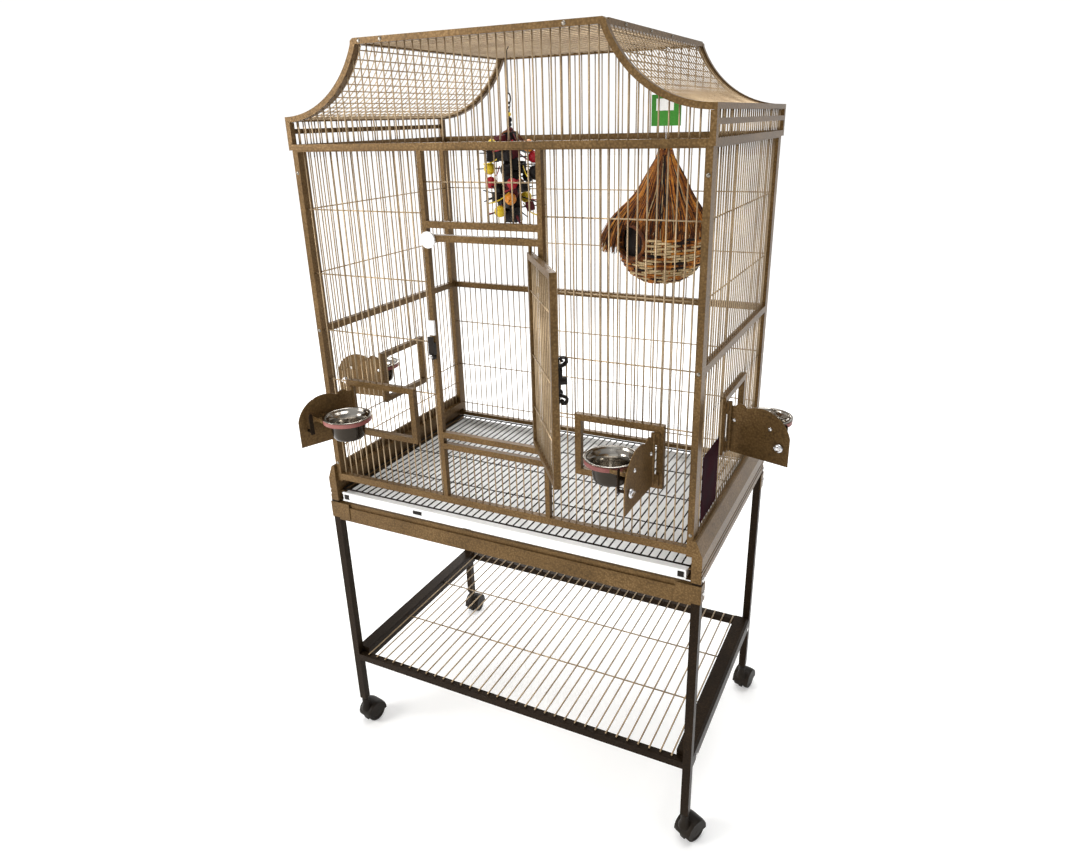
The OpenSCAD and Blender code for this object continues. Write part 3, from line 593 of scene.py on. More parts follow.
def frame_screws():
    """Cross-headed screws in the roof's rails and the front posts."""
    b = Build()
    r, high = 3.4, 1.7

    def screw(at, axis):
        z = Vector(axis)
        x = z.orthogonal().normalized()
        basis = Matrix((x, z.cross(x), z)).transposed()
        head = [(0, high), (r * 0.45, high * 0.96), (r * 0.8, high * 0.66), (r, high * 0.2),
                (r, -0.3), (0, -0.3)]
        b.lathe(head, at, 20, basis)
        for k in (0, 1):
            turned = basis @ Matrix.Rotation(PI / 2 * k, 3, "Z")
            b.box((-r * 0.55, -0.28, high * 0.9), (r * 0.55, 0.28, high + 0.06), turned, at)

    for x in (-219, -174, 169):
        screw((x, -ROOF_Y, RIDGE - 5), (0, -1, 0))
    for y in (-182, -61, 52):
        screw((RIDGE_X + 3, y, RIDGE - 5), (1, 0, 0))
    for s in (-1, 1):
        for up in (40, 340, 650):
            screw((s * (HALF_X - TUBE / 2), -HALF_Y, BASE + up), (0, -1, 0))
    b.piece("frame_screws", "cage", screw_steel)


gable_wires()
roof_net()
roof_net_edges()
frame_screws()

# ---- main door

DOOR_PIN = Vector((95.0, -254.0, 0))


def open_door(p):
    """Where a point of the shut door is with the door open."""
    return turned(DOOR_PIN, 127)(Vector(p) - DOOR_PIN)


def door_grille():
    b = Build()
    leaf = (DOOR_Z[0] + 6 + 11, DOOR_Z[1] - 11 - 11)
    panel(b, "xz", DOOR_PIN.y, (-92, 89.5), leaf, [CROSS[0], sum(MID) / 2, LOW], 1)
    b.move(open_door)
    b.piece("door_grille", "door", wire, stands_for=["door_wires"])


door_grille()

# ---- shelf, grate and tray


def shelf_rods():
    b = Build()
    x, z = STAND_X - 35, cad("shelf_grille")[0].z
    for u in steps(-x, x, 24):
        b.tube([(u, -STAND_Y + 6, z + 3.2), (u, STAND_Y - 6, z + 3.2)], 1.7)
    for y in (-85, 85):
        b.tube([(-x - 2, y, z + 0.6), (x + 2, y, z + 0.6)], 1.7)
    b.piece("shelf_rods", "cage", wire, stands_for=["shelf_grille"])


def grate_rods():
    b = Build()
    lo, hi = cad("floor_grate")
    z = (lo.z + hi.z) / 2
    for x in steps(lo.x + 6, hi.x - 6):
        b.tube([(x, lo.y + 1.6, z + 0.3), (x, hi.y - 1.6, z + 0.3)], 1.5)
    for y in (-125, 0, 125):
        b.tube([(lo.x + 1.6, y, z - 0.4), (hi.x - 1.6, y, z - 0.4)], 1.3)
    x0, x1, y0, y1 = lo.x + 2, hi.x - 2, lo.y + 2, hi.y - 2
    rim = [(x0, y0, z), (x1, y0, z), (x1, y1, z), (x0, y1, z)]
    for p, q in zip(rim, rim[1:] + rim[:1]):
        b.tube([p, q], 1.8)
    b.piece("grate_rods", "grate", grate_wire_painted_shade, stands_for=["floor_grate"])


def seed_tray():
    """Folded sheet: a floor, three low walls and a ribbed front edge."""
    b = Build()
    lo, hi = cad("tray")
    z, wall_top, sheet, floor_top = lo.z, hi.z - 4, 1.6, lo.z + 1.5
    b.box((lo.x, -HALF_Y + 2, z), (hi.x, hi.y, floor_top))
    for s in (-1, 1):
        x0, x1 = sorted((s * hi.x, s * (hi.x - sheet)))
        b.box((x0, -HALF_Y + 2, floor_top), (x1, hi.y, wall_top))
    b.box((lo.x + sheet, hi.y - sheet, floor_top), (hi.x - sheet, hi.y, wall_top))
    # the front edge from below: distance from the cage's front, and height
    edge = [(2, 0), (-1.6, 0), (-2.6, 1.2), (-2.6, 3.0), (-0.6, 3.8), (-0.6, 7.4), (-1.4, 8.2), (-1.4, 9.6),
            (-0.6, 10.4), (-0.6, 15.4), (-2.6, 16.4), (-3.0, 18.2), (-2.0, hi.z - z), (2, hi.z - z)]
    b.prism(edge, lo.x, hi.x, Matrix(((0, 0, 1), (1, 0, 0), (0, 1, 0))), (0, -HALF_Y, z))
    b.piece("seed_tray", "tray", tray_white, bevel=0.3, stands_for=["tray"])


def tray_clips():
    """The tray's dark corner clips, and a smaller one left of its middle."""
    b = Build()
    lo, hi = cad("tray")
    b.box((-206, -HALF_Y - 2.2, lo.z + 6), (-184, -HALF_Y - 0.2, lo.z + 14))
    for s in (-1, 1):
        x0, x1 = sorted((s * (hi.x - 16), s * (hi.x - 4)))
        b.box((x0, -HALF_Y - 2.4, lo.z + 4), (x1, -HALF_Y - 0.2, lo.z + 15))
    b.piece("tray_clips", "tray", black_cast, bevel=0.5)


shelf_rods()
grate_rods()
seed_tray()
tray_clips()

# ---- feeders

SIDE_HINGE_Y = SIDE_Y - FEED_W / 2 + 17
# hinge, direction of the shut door, side and angle that it opens to, its place in names, bowl's node
FEEDERS = {
    "fl": ((-328.0, -HALF_Y - 5), 0, -1, 112, "front_left", "bowl_fl"),
    "fr": ((328.0, -HALF_Y - 5), 180, 1, 88, "front_right", "bowl_fr"),
    "l": ((-HALF_X - 5, SIDE_HINGE_Y), 90, 1, 96, "left", "bowl_l"),
    "r": ((HALF_X + 5, SIDE_HINGE_Y), 90, -1, 107, "right", "bowl_r_side"),
}
RIM_Z = FEED_Z[0] + 72  # rim of a bowl
BOWL = (47.0, 58.0, 0)  # its middle, along the plate and out from it
BUTTON = (106.0, 0, FEED_Z[0] + 40)  # middle of a turn button


def steel_bowl(key, word, place, node):
    b = Build()
    foot = RIM_Z - 48
    outside = [(0, 0.5), (19, 0.5), (21, 0), (24.6, 0.4), (28, 2), (30.6, 5), (32.2, 10), (34.4, 24),
               (36.2, 35), (38.2, 38), (42.6, 41), (44.2, 43.4), (44.3, 46), (45.2, 46.6)]
    inside = [(48.0, 46.5), (48.9, 47.2), (48.4, 48), (46.6, 48.2), (44.2, 47.6), (43.2, 46), (43.0, 44),
              (41.6, 42.2), (37.2, 39.2), (35.0, 35.6), (33.2, 24.2), (31.0, 10.6), (29.4, 6), (27, 3.4),
              (24.2, 1.8), (0, 1.8)]
    round_ = 72
    b.lathe([(r, foot + z) for r, z in outside + inside], BOWL, round_)
    # the outside faces take the painted-shade steel, and the inside faces take the bright stainless
    painted_shade_faces = (len(outside) - 1) * round_
    b.looks = [1 if k < painted_shade_faces else 0 for k in range(len(b.looks))]
    b.move(place)
    b.piece("steel_bowl_" + key, "feeder_bowl_" + word, [stainless, stainless_painted_shade],
            stands_for=[node], sharp=80)


def ring_band(key, word, place):
    b = Build()
    band = [(47.05, -11.0), (47.9, -10.6), (48.0, -3.0), (47.05, -2.4)]
    b.lathe([(r, RIM_Z + z) for r, z in band], BOWL, 72)
    b.move(place)
    b.piece("ring_band_" + key, "feeder_" + word, ring_pink)


def turn_button(key, word, place):
    """A dished chrome head with a wing, a shaft through the plate and a dark tongue behind it; shaft and
    tongue are in the painted-shade copy of the bronze.
    """
    b = Build()
    head = [(0, 8), (4, 7.9), (6.4, 7.2), (8.2, 5.6), (9, 3.6), (8.8, 2.2), (6, 1.5), (3, 1.3), (0, 1.3)]
    wing = [(-8.6, -2), (-3, -3.2), (3, -3.2), (8.6, -2), (8.6, 2), (3, 3.2), (-3, 3.2), (-8.6, 2)]
    tongue = [(-4, -4), (4, -4), (4, 34), (2.6, 39), (0, 40), (-2.6, 39), (-4, 34)]
    b.lathe(head, BUTTON, 36, TO_FRONT)
    b.prism(wing, 7, 8, TO_FRONT, BUTTON)
    b.look = 1
    b.tube([(BUTTON[0], -2, BUTTON[2]), (BUTTON[0], 18.2, BUTTON[2])], 2.9, 20)
    b.prism(tongue, -20, -18, TO_FRONT, BUTTON)
    b.move(place)
    b.piece("turn_button_" + key, "feeder_knob_" + word, [chrome, bronze_painted_shade], bevel=0.3,
            stands_for=["feeder_knob_" + key])


def plate_screws(key, word, place):
    b = Build()
    for u in (10, 85):
        head = [(0, 3.4), (2.2, 3.2), (3.6, 2.2), (4, 1), (4, 0.9), (0, 0.9)]
        b.lathe(head, (u, 0, RIM_Z), 24, TO_FRONT)
    b.move(place)
    b.piece("plate_screws_" + key, "feeder_" + word, bolt_steel)


def ring_braces(key, word, place):
    """Flat bars from the plate to the bowl's ring."""
    b = Build()
    w = Vector((0, 0, 3.6))
    for start, end in (((97, 1.2, RIM_Z - 6), (92, 41, RIM_Z - 6.5)),
                       ((97, 1.2, RIM_Z - 13), (79, 22.5, RIM_Z - 8))):
        p, q = Vector(start), Vector(end)
        d = (q - p).normalized().cross(w).normalized() * 0.9
        corners = [c + side for c in (p, q) for side in (w + d, w - d, -w - d, -w + d)]
        b.add(corners, [(0, 1, 2, 3), (7, 6, 5, 4), (0, 4, 5, 1), (1, 5, 6, 2), (2, 6, 7, 3), (3, 7, 4, 0)])
    b.move(place)
    b.piece("ring_braces_" + key, "feeder_" + word, bronze, bevel=0.3)


for key, (at, shut, sense, opened, word, bowl_node) in FEEDERS.items():
    place = turned(at, shut + sense * opened, -sense)
    steel_bowl(key, word, place, bowl_node)
    ring_band(key, word, place)
    turn_button(key, word, place)
    plate_screws(key, word, place)
    ring_braces(key, word, place)

# ---- latch


def scroll_plate():
    """The latch's cast plate: a long wavy outline, with curls, scrolls and a small arch on it."""
    b = Build()
    x0, y0, z0 = -97.0, -259.5, BASE + 350.0

    def on_plate(x, z, h):
        return (x0 + x, y0 - h, z0 + z)

    outline = []
    for k in range(120):
        t = 2 * PI * k / 120
        c = math.cos(t)
        wave = 6.4 + 1.9 * math.cos(6 * t) + 1.3 * math.cos(2 * t)
        outline.append((1 + wave * math.copysign(abs(c) ** 0.55, c) * 0.9, 39 * math.sin(t)))
    b.prism(outline, 0.0, 2.8, TO_FRONT, (x0, y0, z0))
    curl = [(24, 2), (24.6, 7), (27, 12.5), (31, 15.6), (35.2, 15.2), (38.2, 12), (38.2, 7.8),
            (35.4, 5.6), (32.4, 7.2), (33, 10)]
    taper = [2.1, 2.2, 2.3, 2.2, 2.1, 2.0, 1.9, 1.7, 1.5, 1.2]
    for s in (-1, 1):
        for x in (-2.4, 1, 4.4):
            b.tube([on_plate(x, s * z, h - abs(x - 1) * 0.3) for z, h in curl], taper, 10)
    for z, r in ((-17, 3.2), (-10, 2.6)):
        scroll = []
        for k in range(22):
            a = k / 21 * 2.3 * PI
            q = r * (1 - 0.62 * k / 21)
            scroll.append(on_plate(1 + q * math.cos(a), z + q * math.sin(a), 3.4))
        b.tube(scroll, 1.0, 8)
    b.tube([on_plate(1, -14 - 10 * k / 8, 2.6 + 4.2 * math.sin(PI * k / 8)) for k in range(9)], 2.0, 10)
    b.move(open_door)
    b.piece("scroll_plate", "door", black_cast, bevel=0.3, stands_for=["door_latch_plate"])


def keeper_knob():
    """A bright round head at the foot of the door's keeper."""
    b = Build()
    lo, hi = cad("door_keeper")
    head = [(0, 7), (2.6, 6.6), (4.2, 5.2), (4.6, 3.4), (3.6, 1.6), (2.2, 0.9), (0, 0.9)]
    b.lathe(head, ((lo.x + hi.x) / 2, lo.y, lo.z + 8), 28, TO_FRONT)
    b.piece("keeper_knob", "cage", bolt_steel)


scroll_plate()
keeper_knob()

# ---- casters

LEG = (STAND_X - 8.5, STAND_Y - 8.5)
CASTERS = {"fl": (-1, -1, 80), "fr": (1, -1, 65), "rl": (-1, 1, 95), "rr": (1, 1, 80)}
TRAIL, AXLE_Z = 19, 25  # the axle's place behind the stem, and its height
AXLE = (TRAIL, 0, AXLE_Z)


def arc_points(r, start, sweep):
    """Thirty steps of an arc about the origin, angles in degrees."""
    turns = [math.radians(start + sweep * k / 30) for k in range(31)]
    return [(r * math.cos(t), r * math.sin(t)) for t in turns]


def hood(b):
    """The curved guard over both wheels: a shell that rounds off towards its two edges."""
    wide, outer, inner, wall = 20.8, 29.0, 26.6, 1.2
    arcs, across = 30, 12
    points = []
    for k in range(arcs + 1):
        t = math.radians(-4) + math.radians(188) * k / arcs
        for m in range(across + 1):
            w = -1 + 2 * m / across
            r = outer - 2.2 * abs(w) ** 5
            points.append((TRAIL + r * math.cos(t), wide * w, AXLE_Z + r * math.sin(t)))
        for m in range(across + 1):
            w = 1 - 2 * m / across
            points.append((TRAIL + inner * math.cos(t), (wide - wall) * w, AXLE_Z + inner * math.sin(t)))
    c = 2 * (across + 1)
    faces = []
    for k in range(arcs):
        for m in range(c):
            n = (m + 1) % c
            faces.append((k * c + m, k * c + n, (k + 1) * c + n, (k + 1) * c + m))
    faces += [tuple(range(c)), tuple(reversed(range(arcs * c, arcs * c + c)))]
    b.add(points, faces)


def caster_shell(key, place):
    """Hood, web between the wheels, stem, side cheeks and axle caps."""
    b = Build()
    hood(b)
    web = [(TRAIL + x, -(AXLE_Z + z)) for x, z in reversed(arc_points(28, -30, 250))]
    b.prism(web, -4.2, 4.2, TO_BACK)
    b.lathe([(0, 74.4), (7.6, 74.4), (8.5, 73.4), (8.5, 58), (10.5, 52), (13, 46), (13, 40), (0, 40)], n=32)
    b.lathe([(0, 94), (3.9, 94), (3.9, 70), (0, 70)], n=20)
    cheek = arc_points(27.2, -8, 196) + [(-9, -6.5), (-4, -9), (4, -9), (9, -6.5)]
    cap = [(0, 20.95), (5.2, 20.9), (7.2, 20.7), (7.4, 20), (4.4, 19.4), (4.4, 4), (0, 4)]
    for s in (-1, 1):
        near, far = sorted((s * 19.5, s * 20.7))
        b.prism([(TRAIL + x, -(AXLE_Z + z)) for x, z in reversed(cheek)], near, far, TO_BACK)
        b.lathe([(r, s * h) for r, h in cap], AXLE, 20, TO_FRONT)
    b.move(place)
    b.piece("caster_shell_" + key, "caster_" + key, nylon, bevel=0.5,
            stands_for=["caster_hood_" + key])


def caster_wheel(key, place):
    b = Build()
    half = [(3.1, 6.5), (7, 6.5), (8, 5.2), (17, 5.2), (18.5, 6.5), (22.4, 6.5), (24.4, 5.2), (25, 3.4)]
    section = [(r, -h) for r, h in half] + half[::-1] + [(3.1, -6.5)]
    for s in (-1, 1):
        b.lathe([(r, h + s * 12.2) for r, h in section], AXLE, 48, TO_FRONT)
    b.move(place)
    b.piece("caster_wheel_" + key, "wheels_" + key, tread,
            stands_for=["caster_wheels_" + key])


for key, (i, j, degrees) in CASTERS.items():
    place = turned((i * LEG[0], j * LEG[1]), degrees)
    caster_shell(key, place)
    caster_wheel(key, place)

# ---- nest

rng = random.Random(7)
NEST_X, NEST_Y = NEST_HOOK[:2]
NEST_Z = 1210.0  # height of the nest's widest part
ENTRY = math.radians(238)  # the entrance faces this way
AWNING = ENTRY - 0.42  # and the fibres over it this way
# outline of the nest: height from its widest part, and radius
NEST_SHAPE = [(-86, 6), (-82, 34), (-66, 60), (-44, 75), (-20, 83), (2, 84), (20, 83.5), (38, 78), (56, 67),
              (79, 50), (100, 40), (116, 31), (132, 22), (146, 14), (152, 12), (158, 10.5)]


def nest_r(z):
    """The nest's radius at the height z."""
    for (z0, r0), (z1, r1) in zip(NEST_SHAPE, NEST_SHAPE[1:]):
        if z <= z1:
            return r0 + (r1 - r0) * max(0.0, (z - z0) / (z1 - z0))
    return NEST_SHAPE[-1][1]


def round_nest(a, z, r):
    return (NEST_X + r * math.cos(a), NEST_Y + r * math.sin(a), NEST_Z + z)


def wrap(a):
    """The same angle, between -PI and PI."""
    return (a + PI) % (2 * PI) - PI


def nest_core():
    """A thin uneven wall with an oval hole for the entrance."""
    b = Build()
    n, rows = 64, 44
    low, high = -84, 240
    points = []
    for i in range(rows + 1):
        z = low + high * i / rows
        for k in range(n):
            a = 2 * PI * k / n
            uneven = 1.6 * math.sin(9 * a + z * 0.21) * math.sin(z * 0.13)
            points.append(round_nest(a, z, nest_r(z) - 3.0 + uneven))
    faces = []
    for i in range(rows):
        z = low + high * (i + 0.5) / rows
        for k in range(n):
            a = 2 * PI * (k + 0.5) / n
            if (wrap(a - ENTRY) / 0.44) ** 2 + ((z + 2) / 29) ** 2 >= 1:
                j = (k + 1) % n
                faces.append((i * n + k, i * n + j, (i + 1) * n + j, (i + 1) * n + k))
    faces.append(tuple(reversed(range(n))))
    b.add(points, faces)
    core = b.piece("nest_core", "nest", husk, stands_for=["nest"])
    wall = core.modifiers.new("wall", "SOLIDIFY")
    wall.thickness, wall.offset = 0.004, -1.0


def nest_hollow_painted_shade():
    """A near-black shell inside the nest: painted shade of the hollow seen through the entrance."""
    b = Build()
    hollow = [(0, -74), (40, -68), (66, -40), (74, -6), (64, 34), (40, 66), (0, 84)]
    b.lathe(hollow, (NEST_X, NEST_Y, NEST_Z), 40)
    b.piece("nest_hollow_painted_shade", "nest", nest_near_black_and_painted_shade)


def weavers(b, stakes):
    """Coarse strands that go out over one stake and in behind the next, row above row."""
    taper = [1.3, 1.9, 2.2, 2.3, 2.3, 2.2, 1.8, 1.2]
    for row in range(19):
        for k in range(0, stakes, 2):
            start = 2 * PI * (k + row % 2) / stakes
            mid = start + 2 * PI / stakes
            if row > 9 and abs(wrap(mid - ENTRY)) < 0.54:
                continue
            tilt = rng.uniform(-1.4, 1.4)
            pts = []
            for i in range(8):
                t = -0.12 + 1.24 * i / 7
                z = -80 + row * 4.7 + tilt * (t - 0.5) + rng.uniform(-0.25, 0.25)
                out = 3.6 * math.sin(PI * min(1, max(0, t)))
                pts.append(round_nest(start + 4 * PI / stakes * t, z, nest_r(z) - 1.2 + out))
            pale = 0.5 + 0.5 * math.cos(mid - ENTRY - 1.7)
            b.look = rng.choices((0, 1, 2, 3), (1.5 + 8 * pale, 6, 4, 3))[0]
            b.tube(pts, taper, 6, flat=0.75)


def nest_basket():
    """The woven lower half: weavers, upright stakes and a thick ring round the entrance."""
    b = Build()
    stakes = 30
    weavers(b, stakes)
    for k in range(stakes):
        a = 2 * PI * k / stakes
        top = -38 if abs(wrap(a - ENTRY)) < 0.46 else 6
        heights = [-84 + (top + 84) * i / 11 for i in range(12)]
        b.look = (2, 1, 3)[k % 3]
        b.tube([round_nest(a, z, nest_r(z) - 0.6) for z in heights], 1.8, 6)
    ring = []
    for k in range(40):
        t = 2 * PI * k / 40
        z = -2 + 31 * math.sin(t)
        ring.append(round_nest(ENTRY + 0.47 * math.cos(t), z, nest_r(z) + 1.0))
    b.look = 2
    b.tube(ring, 3.2, 8, closed=True)
    b.piece("nest_basket", "nest", [straw_pale, straw_orange, husk, nest_near_black_and_painted_shade])


def nest_fibres():
    """Long fibres that hang from the neck over the upper half, and stand out as an awning."""
    b = Build()
    count = 14
    for k in range(1150):
        a = rng.uniform(0, 2 * PI) if k % 4 else AWNING + rng.gauss(0, 0.34)
        near = max(0.0, 1 - abs(wrap(a - AWNING)) / 0.55) ** 0.6
        over_entry = abs(wrap(a - ENTRY)) < 0.46 and near < 0.62
        z_end = rng.uniform(-34, 12) * (1 - near) + rng.uniform(-24, 4) * near
        if over_entry:
            near *= 0.5
            z_end = rng.uniform(29, 36)
        lift = rng.uniform(0.2, 3.6)
        z_top = 168 + rng.uniform(-9, 5)
        drift = rng.uniform(-0.14, 0.14) * (0.3 if over_entry or near > 0 else 1)
        reach = rng.uniform(26, 42) if near > 0 else 0
        thick = rng.uniform(0.6, 1.3)
        pts = []
        for i in range(count):
            t = i / (count - 1)
            z = z_top + (z_end - z_top) * t
            r = nest_r(z) + lift * math.sin(PI * min(1, t * 1.15)) + 0.4
            r += reach * near * max(0.0, (t - 0.42) / 0.58) ** 1.2
            pts.append(round_nest(a + drift * t + 0.03 * math.sin(7 * t + k), z, r))
        b.look = rng.choices((0, 1, 2, 3), (6, 7, 0.8, 6))[0]
        b.tube(pts, [thick * (1 - 0.4 * i / (count - 1)) for i in range(count)], 4)
    b.piece("nest_fibres", "nest", [husk, straw_orange, straw_pale, nest_near_black_and_painted_shade])


def nest_strays():
    """Short loose ends that stand off the nest, except at the entrance."""
    b = Build()
    reach = [(NEST_X - 98, NEST_X + 85.5), (NEST_Y - 86, NEST_Y + 85.5)]
    for _ in range(190):
        a = rng.uniform(0, 2 * PI)
        if abs(wrap(a - ENTRY)) < 0.55:
            continue
        z = rng.uniform(-74, 60)
        turned = (math.cos(a + rng.uniform(-0.7, 0.7)), math.sin(a + rng.uniform(-0.7, 0.7)))
        out = Vector((*turned, rng.uniform(-1.2, 0.8))).normalized()
        root = Vector(round_nest(a, z, nest_r(z)))
        length = rng.uniform(5, 13)
        curl = Vector((rng.uniform(-1, 1), rng.uniform(-1, 1), rng.uniform(-1, 1))) * 2.5
        pts = [root + out * length * t + curl * t * t for t in (0, 0.3, 0.6, 1.0)]
        for q in pts:
            q.x = min(max(q.x, reach[0][0]), reach[0][1])
            q.y = min(max(q.y, reach[1][0]), reach[1][1])
        b.look = rng.choice((0, 1, 2))
        b.tube(pts, [0.7, 0.6, 0.45, 0.25], 4)
    b.piece("nest_strays", "nest", [husk, straw_orange, straw_pale])


def hook(x, y, z, r, start, count):
    """An eye bent round a roof wire, whose middle is at z."""
    turns = [start + PI * k / 10 for k in range(count)]
    return [(x + r * math.sin(t), y, z - r * math.cos(t)) for t in turns]


def nest_binding():
    """Seven turns of cord round the neck."""
    b = Build()
    pts = []
    for k in range(140):
        z = 150 + 7 * k / 139
        pts.append(round_nest(2 * PI * k / 20, z, nest_r(z) + 2.6))
    b.tube(pts, 1.0, 6)
    b.piece("nest_binding", "nest", husk)


def nest_hanger():
    b = Build()
    z = NEST_HOOK[2] - 1.2
    pts = [(NEST_X, NEST_Y, NEST_Z + up) for up in (150, 200, 260)] + [(NEST_X, NEST_Y, z - 8)]
    b.tube(pts + hook(NEST_X - 1.6, NEST_Y, z, 4.2, 0.5, 16), 0.95, 8)
    b.piece("nest_hanger", "nest", bolt_steel)


def wavy_sheet(b, x, z, y):
    """A thin sheet between the pairs x and z, bent a little in waves."""
    cols = 12
    points = []
    for back in (0, 0.5):
        for i in range(cols + 1):
            u = x[0] + (x[1] - x[0]) * i / cols
            v = y + 0.35 * math.sin(i * 0.5) + back
            points += [(u, v, z[0]), (u, v, z[1])]
    c = 2 * (cols + 1)
    faces = []
    for k in range(0, 2 * cols, 2):
        faces.append((k, k + 2, k + 3, k + 1))
        faces.append((c + k, c + k + 1, c + k + 3, c + k + 2))
        faces.append((k, c + k, c + k + 2, k + 2))
        faces.append((k + 1, k + 3, c + k + 3, c + k + 1))
    faces.append((0, 1, c + 1, c))
    faces.append((c - 2, 2 * c - 2, 2 * c - 1, c - 1))
    b.add(points, faces)


def blank_card():
    """A green card with an empty white field."""
    b = Build()
    lo, hi = cad("nest_card")
    wavy_sheet(b, (lo.x, hi.x), (lo.z, hi.z), lo.y)
    b.look = 1
    wavy_sheet(b, (lo.x + 9, lo.x + 42), (lo.z + 26, hi.z - 7), lo.y - 0.4)
    b.piece("blank_card", "nest", [card_green, card_white], stands_for=["nest_card"])


nest_core()
nest_hollow_painted_shade()
nest_basket()
nest_fibres()
nest_strays()
nest_binding()
nest_hanger()
blank_card()

# ---- toy

rng = random.Random(11)
TOY_X, TOY_Y, TOY_Z = -80.0, HANG_Y, RIDGE - 5.0
FOOT, RISE, LEVELS = 1242.0, 25.0, 7  # lowest block of the column, step and number of blocks
BLACK, MAROON, RED, YELLOW, ORANGE, HUSK = range(6)
TOY_MATS = [toy_black, toy_maroon, toy_red, toy_yellow, toy_orange, husk]


def turned_z(degrees):
    return Matrix.Rotation(math.radians(degrees), 3, "Z")


def tipped(turn, tip):
    return turned_z(turn) @ Matrix.Rotation(math.radians(tip), 3, "X")


def on_axis(z):
    return Vector((TOY_X, TOY_Y, z))


def ball(b, at, r, basis, n=24):
    arc = [PI * (i / 14 - 0.5) for i in range(1, 14)]
    b.lathe([(0.0, -r)] + [(r * math.cos(t), r * math.sin(t)) for t in arc] + [(0.0, r)], at, n, basis)


def block(b, w, half, basis, at):
    """A square block with its long edges cut off, w and half its half width and length."""
    c = w - 2
    b.prism([(-w, -c), (-c, -w), (c, -w), (w, -c), (w, c), (c, w), (-c, w), (-w, c)], -half, half, basis, at)


def stick(b, turn, tilt, z, reach, r=1.5):
    t, up = math.radians(turn), math.radians(tilt)
    d = Vector((math.cos(t) * math.cos(up), math.sin(t) * math.cos(up), math.sin(up)))
    b.tube([on_axis(z) + d * 8, on_axis(z) + d * reach], [r, r * 0.8], 8)


# round the column, each on its own skewer: angle, reach, height, size, colour and shape
AROUND = [
    (197, 45, 1335, 12, YELLOW, ball), (200, 43, 1308, 12, RED, ball), (300, 27, 1307, 11, RED, ball),
    (10, 38, 1378, 12, ORANGE, ball), (290, 25, 1277, 12, ORANGE, ball), (236, 30, 1252, 12, YELLOW, ball),
    (24, 47, 1356, 12, RED, ball), (20, 50, 1326, 15, BLACK, ball), (196, 38, 1384, 8, YELLOW, ball),
    (205, 36, 1365, 15, BLACK, block), (278, 27, 1334, 13, BLACK, ball), (310, 18, 1249, 11, BLACK, block),
    (268, 26, 1362, 12, BLACK, block), (258, 27, 1388, 10, MAROON, block),
    (345, 32, 1298, 10, BLACK, block), (222, 34, 1280, 9, BLACK, block), (130, 42, 1330, 12, RED, ball),
    (95, 36, 1302, 12, ORANGE, ball), (62, 40, 1374, 12, BLACK, block), (115, 34, 1362, 12, YELLOW, ball),
    (70, 38, 1276, 12, YELLOW, ball), (150, 38, 1266, 12, BLACK, block), (105, 30, 1246, 11, RED, ball),
    (48, 36, 1318, 12, BLACK, ball), (150, 36, 1388, 11, MAROON, block), (88, 38, 1335, 11, BLACK, block),
    (30, 36, 1260, 11, MAROON, block), (170, 34, 1294, 11, BLACK, block)]
# thin sticks that cross between them: angle, tilt, height and reach
STICKS = [(190, 16, 1274, 66), (205, -18, 1290, 62), (12, -18, 1286, 74), (340, 2, 1342, 86),
          (100, 14, 1290, 70), (60, -12, 1345, 78), (140, 20, 1350, 66), (250, 8, 1296, 56),
          (175, 6, 1362, 70), (80, -30, 1262, 56), (20, 24, 1300, 70), (230, 24, 1346, 58),
          (160, -26, 1306, 66)]


def toy_cluster(b):
    """Balls and blocks, each on a skewer from the column."""
    for k, (turn, reach, z, size, colour, shape) in enumerate(AROUND):
        d = Vector((math.cos(math.radians(turn)), math.sin(math.radians(turn)), 0))
        at = on_axis(z) + d * reach
        lean = tipped(turn + 90, rng.uniform(-24, 24))
        b.look = colour
        if shape is block:
            block(b, size * 0.8, size * 1.1, lean if k % 2 else lean @ TO_RIGHT, at)
        else:
            ball(b, at, size, lean)
        b.look = BLACK
        root = on_axis(z + rng.uniform(-6, 6))
        tip = root + (at - root) * ((reach + rng.uniform(12, 30)) / reach)
        b.tube([root + d * 10, tip], [1.6, 1.1], 8)


def toy_cap(b):
    """A frayed cap of short strands over the column."""
    for _ in range(60):
        a = rng.uniform(0, 2 * PI)
        r = rng.uniform(12, 34)
        top = on_axis(1410 - rng.uniform(0, 6)) + Vector((2 * math.cos(a), 2 * math.sin(a), 0))
        end = on_axis(1392 + rng.uniform(-6, 6) - r * 0.25) + Vector((r * math.cos(a), r * math.sin(a), 0))
        mid = top.lerp(end, 0.55) + Vector((0, 0, 4))
        b.look = rng.choice((BLACK, MAROON, MAROON, HUSK))
        b.tube([top, mid, end], [1.5, 1.9, 1.2], 5)


def toy_body():
    b = Build()
    colours = (BLACK, BLACK, MAROON, BLACK, BLACK, MAROON, BLACK)
    tips = (4, -7, 6, -4, 8, -5, 3)
    for k in range(LEVELS):
        b.look = colours[k]
        block(b, 15, 12, tipped(52 * k, tips[k]), on_axis(FOOT + RISE * k))
    toy_cluster(b)
    b.look = BLACK
    for place in STICKS:
        stick(b, *place)
    b.look = MAROON
    stick(b, 318, -38, 1262, 52, 3.0)
    toy_cap(b)
    b.piece("toy_body", "toy", TOY_MATS, bevel=0.8, stands_for=["toy"])


def toy_lacing():
    """Red and yellow cords that sag from each block's side to the next block."""
    b = Build()
    for k in range(LEVELS - 1):
        for s in (-1, 1):
            start = on_axis(FOOT + RISE * k) + turned_z(52 * k) @ Vector((s * 56, 0, 2.4))
            end = on_axis(FOOT + RISE * (k + 1)) + turned_z(52 * (k + 1)) @ Vector((s * 24, 0, -2.4))
            b.look = (k + (s > 0)) % 2
            sag = [Vector((0, 0, 5 * math.sin(PI * i / 8))) for i in range(9)]
            b.tube([start.lerp(end, i / 8) - sag[i] for i in range(9)], 1.3, 6)
    b.piece("toy_lacing", "toy", [toy_red, toy_yellow])


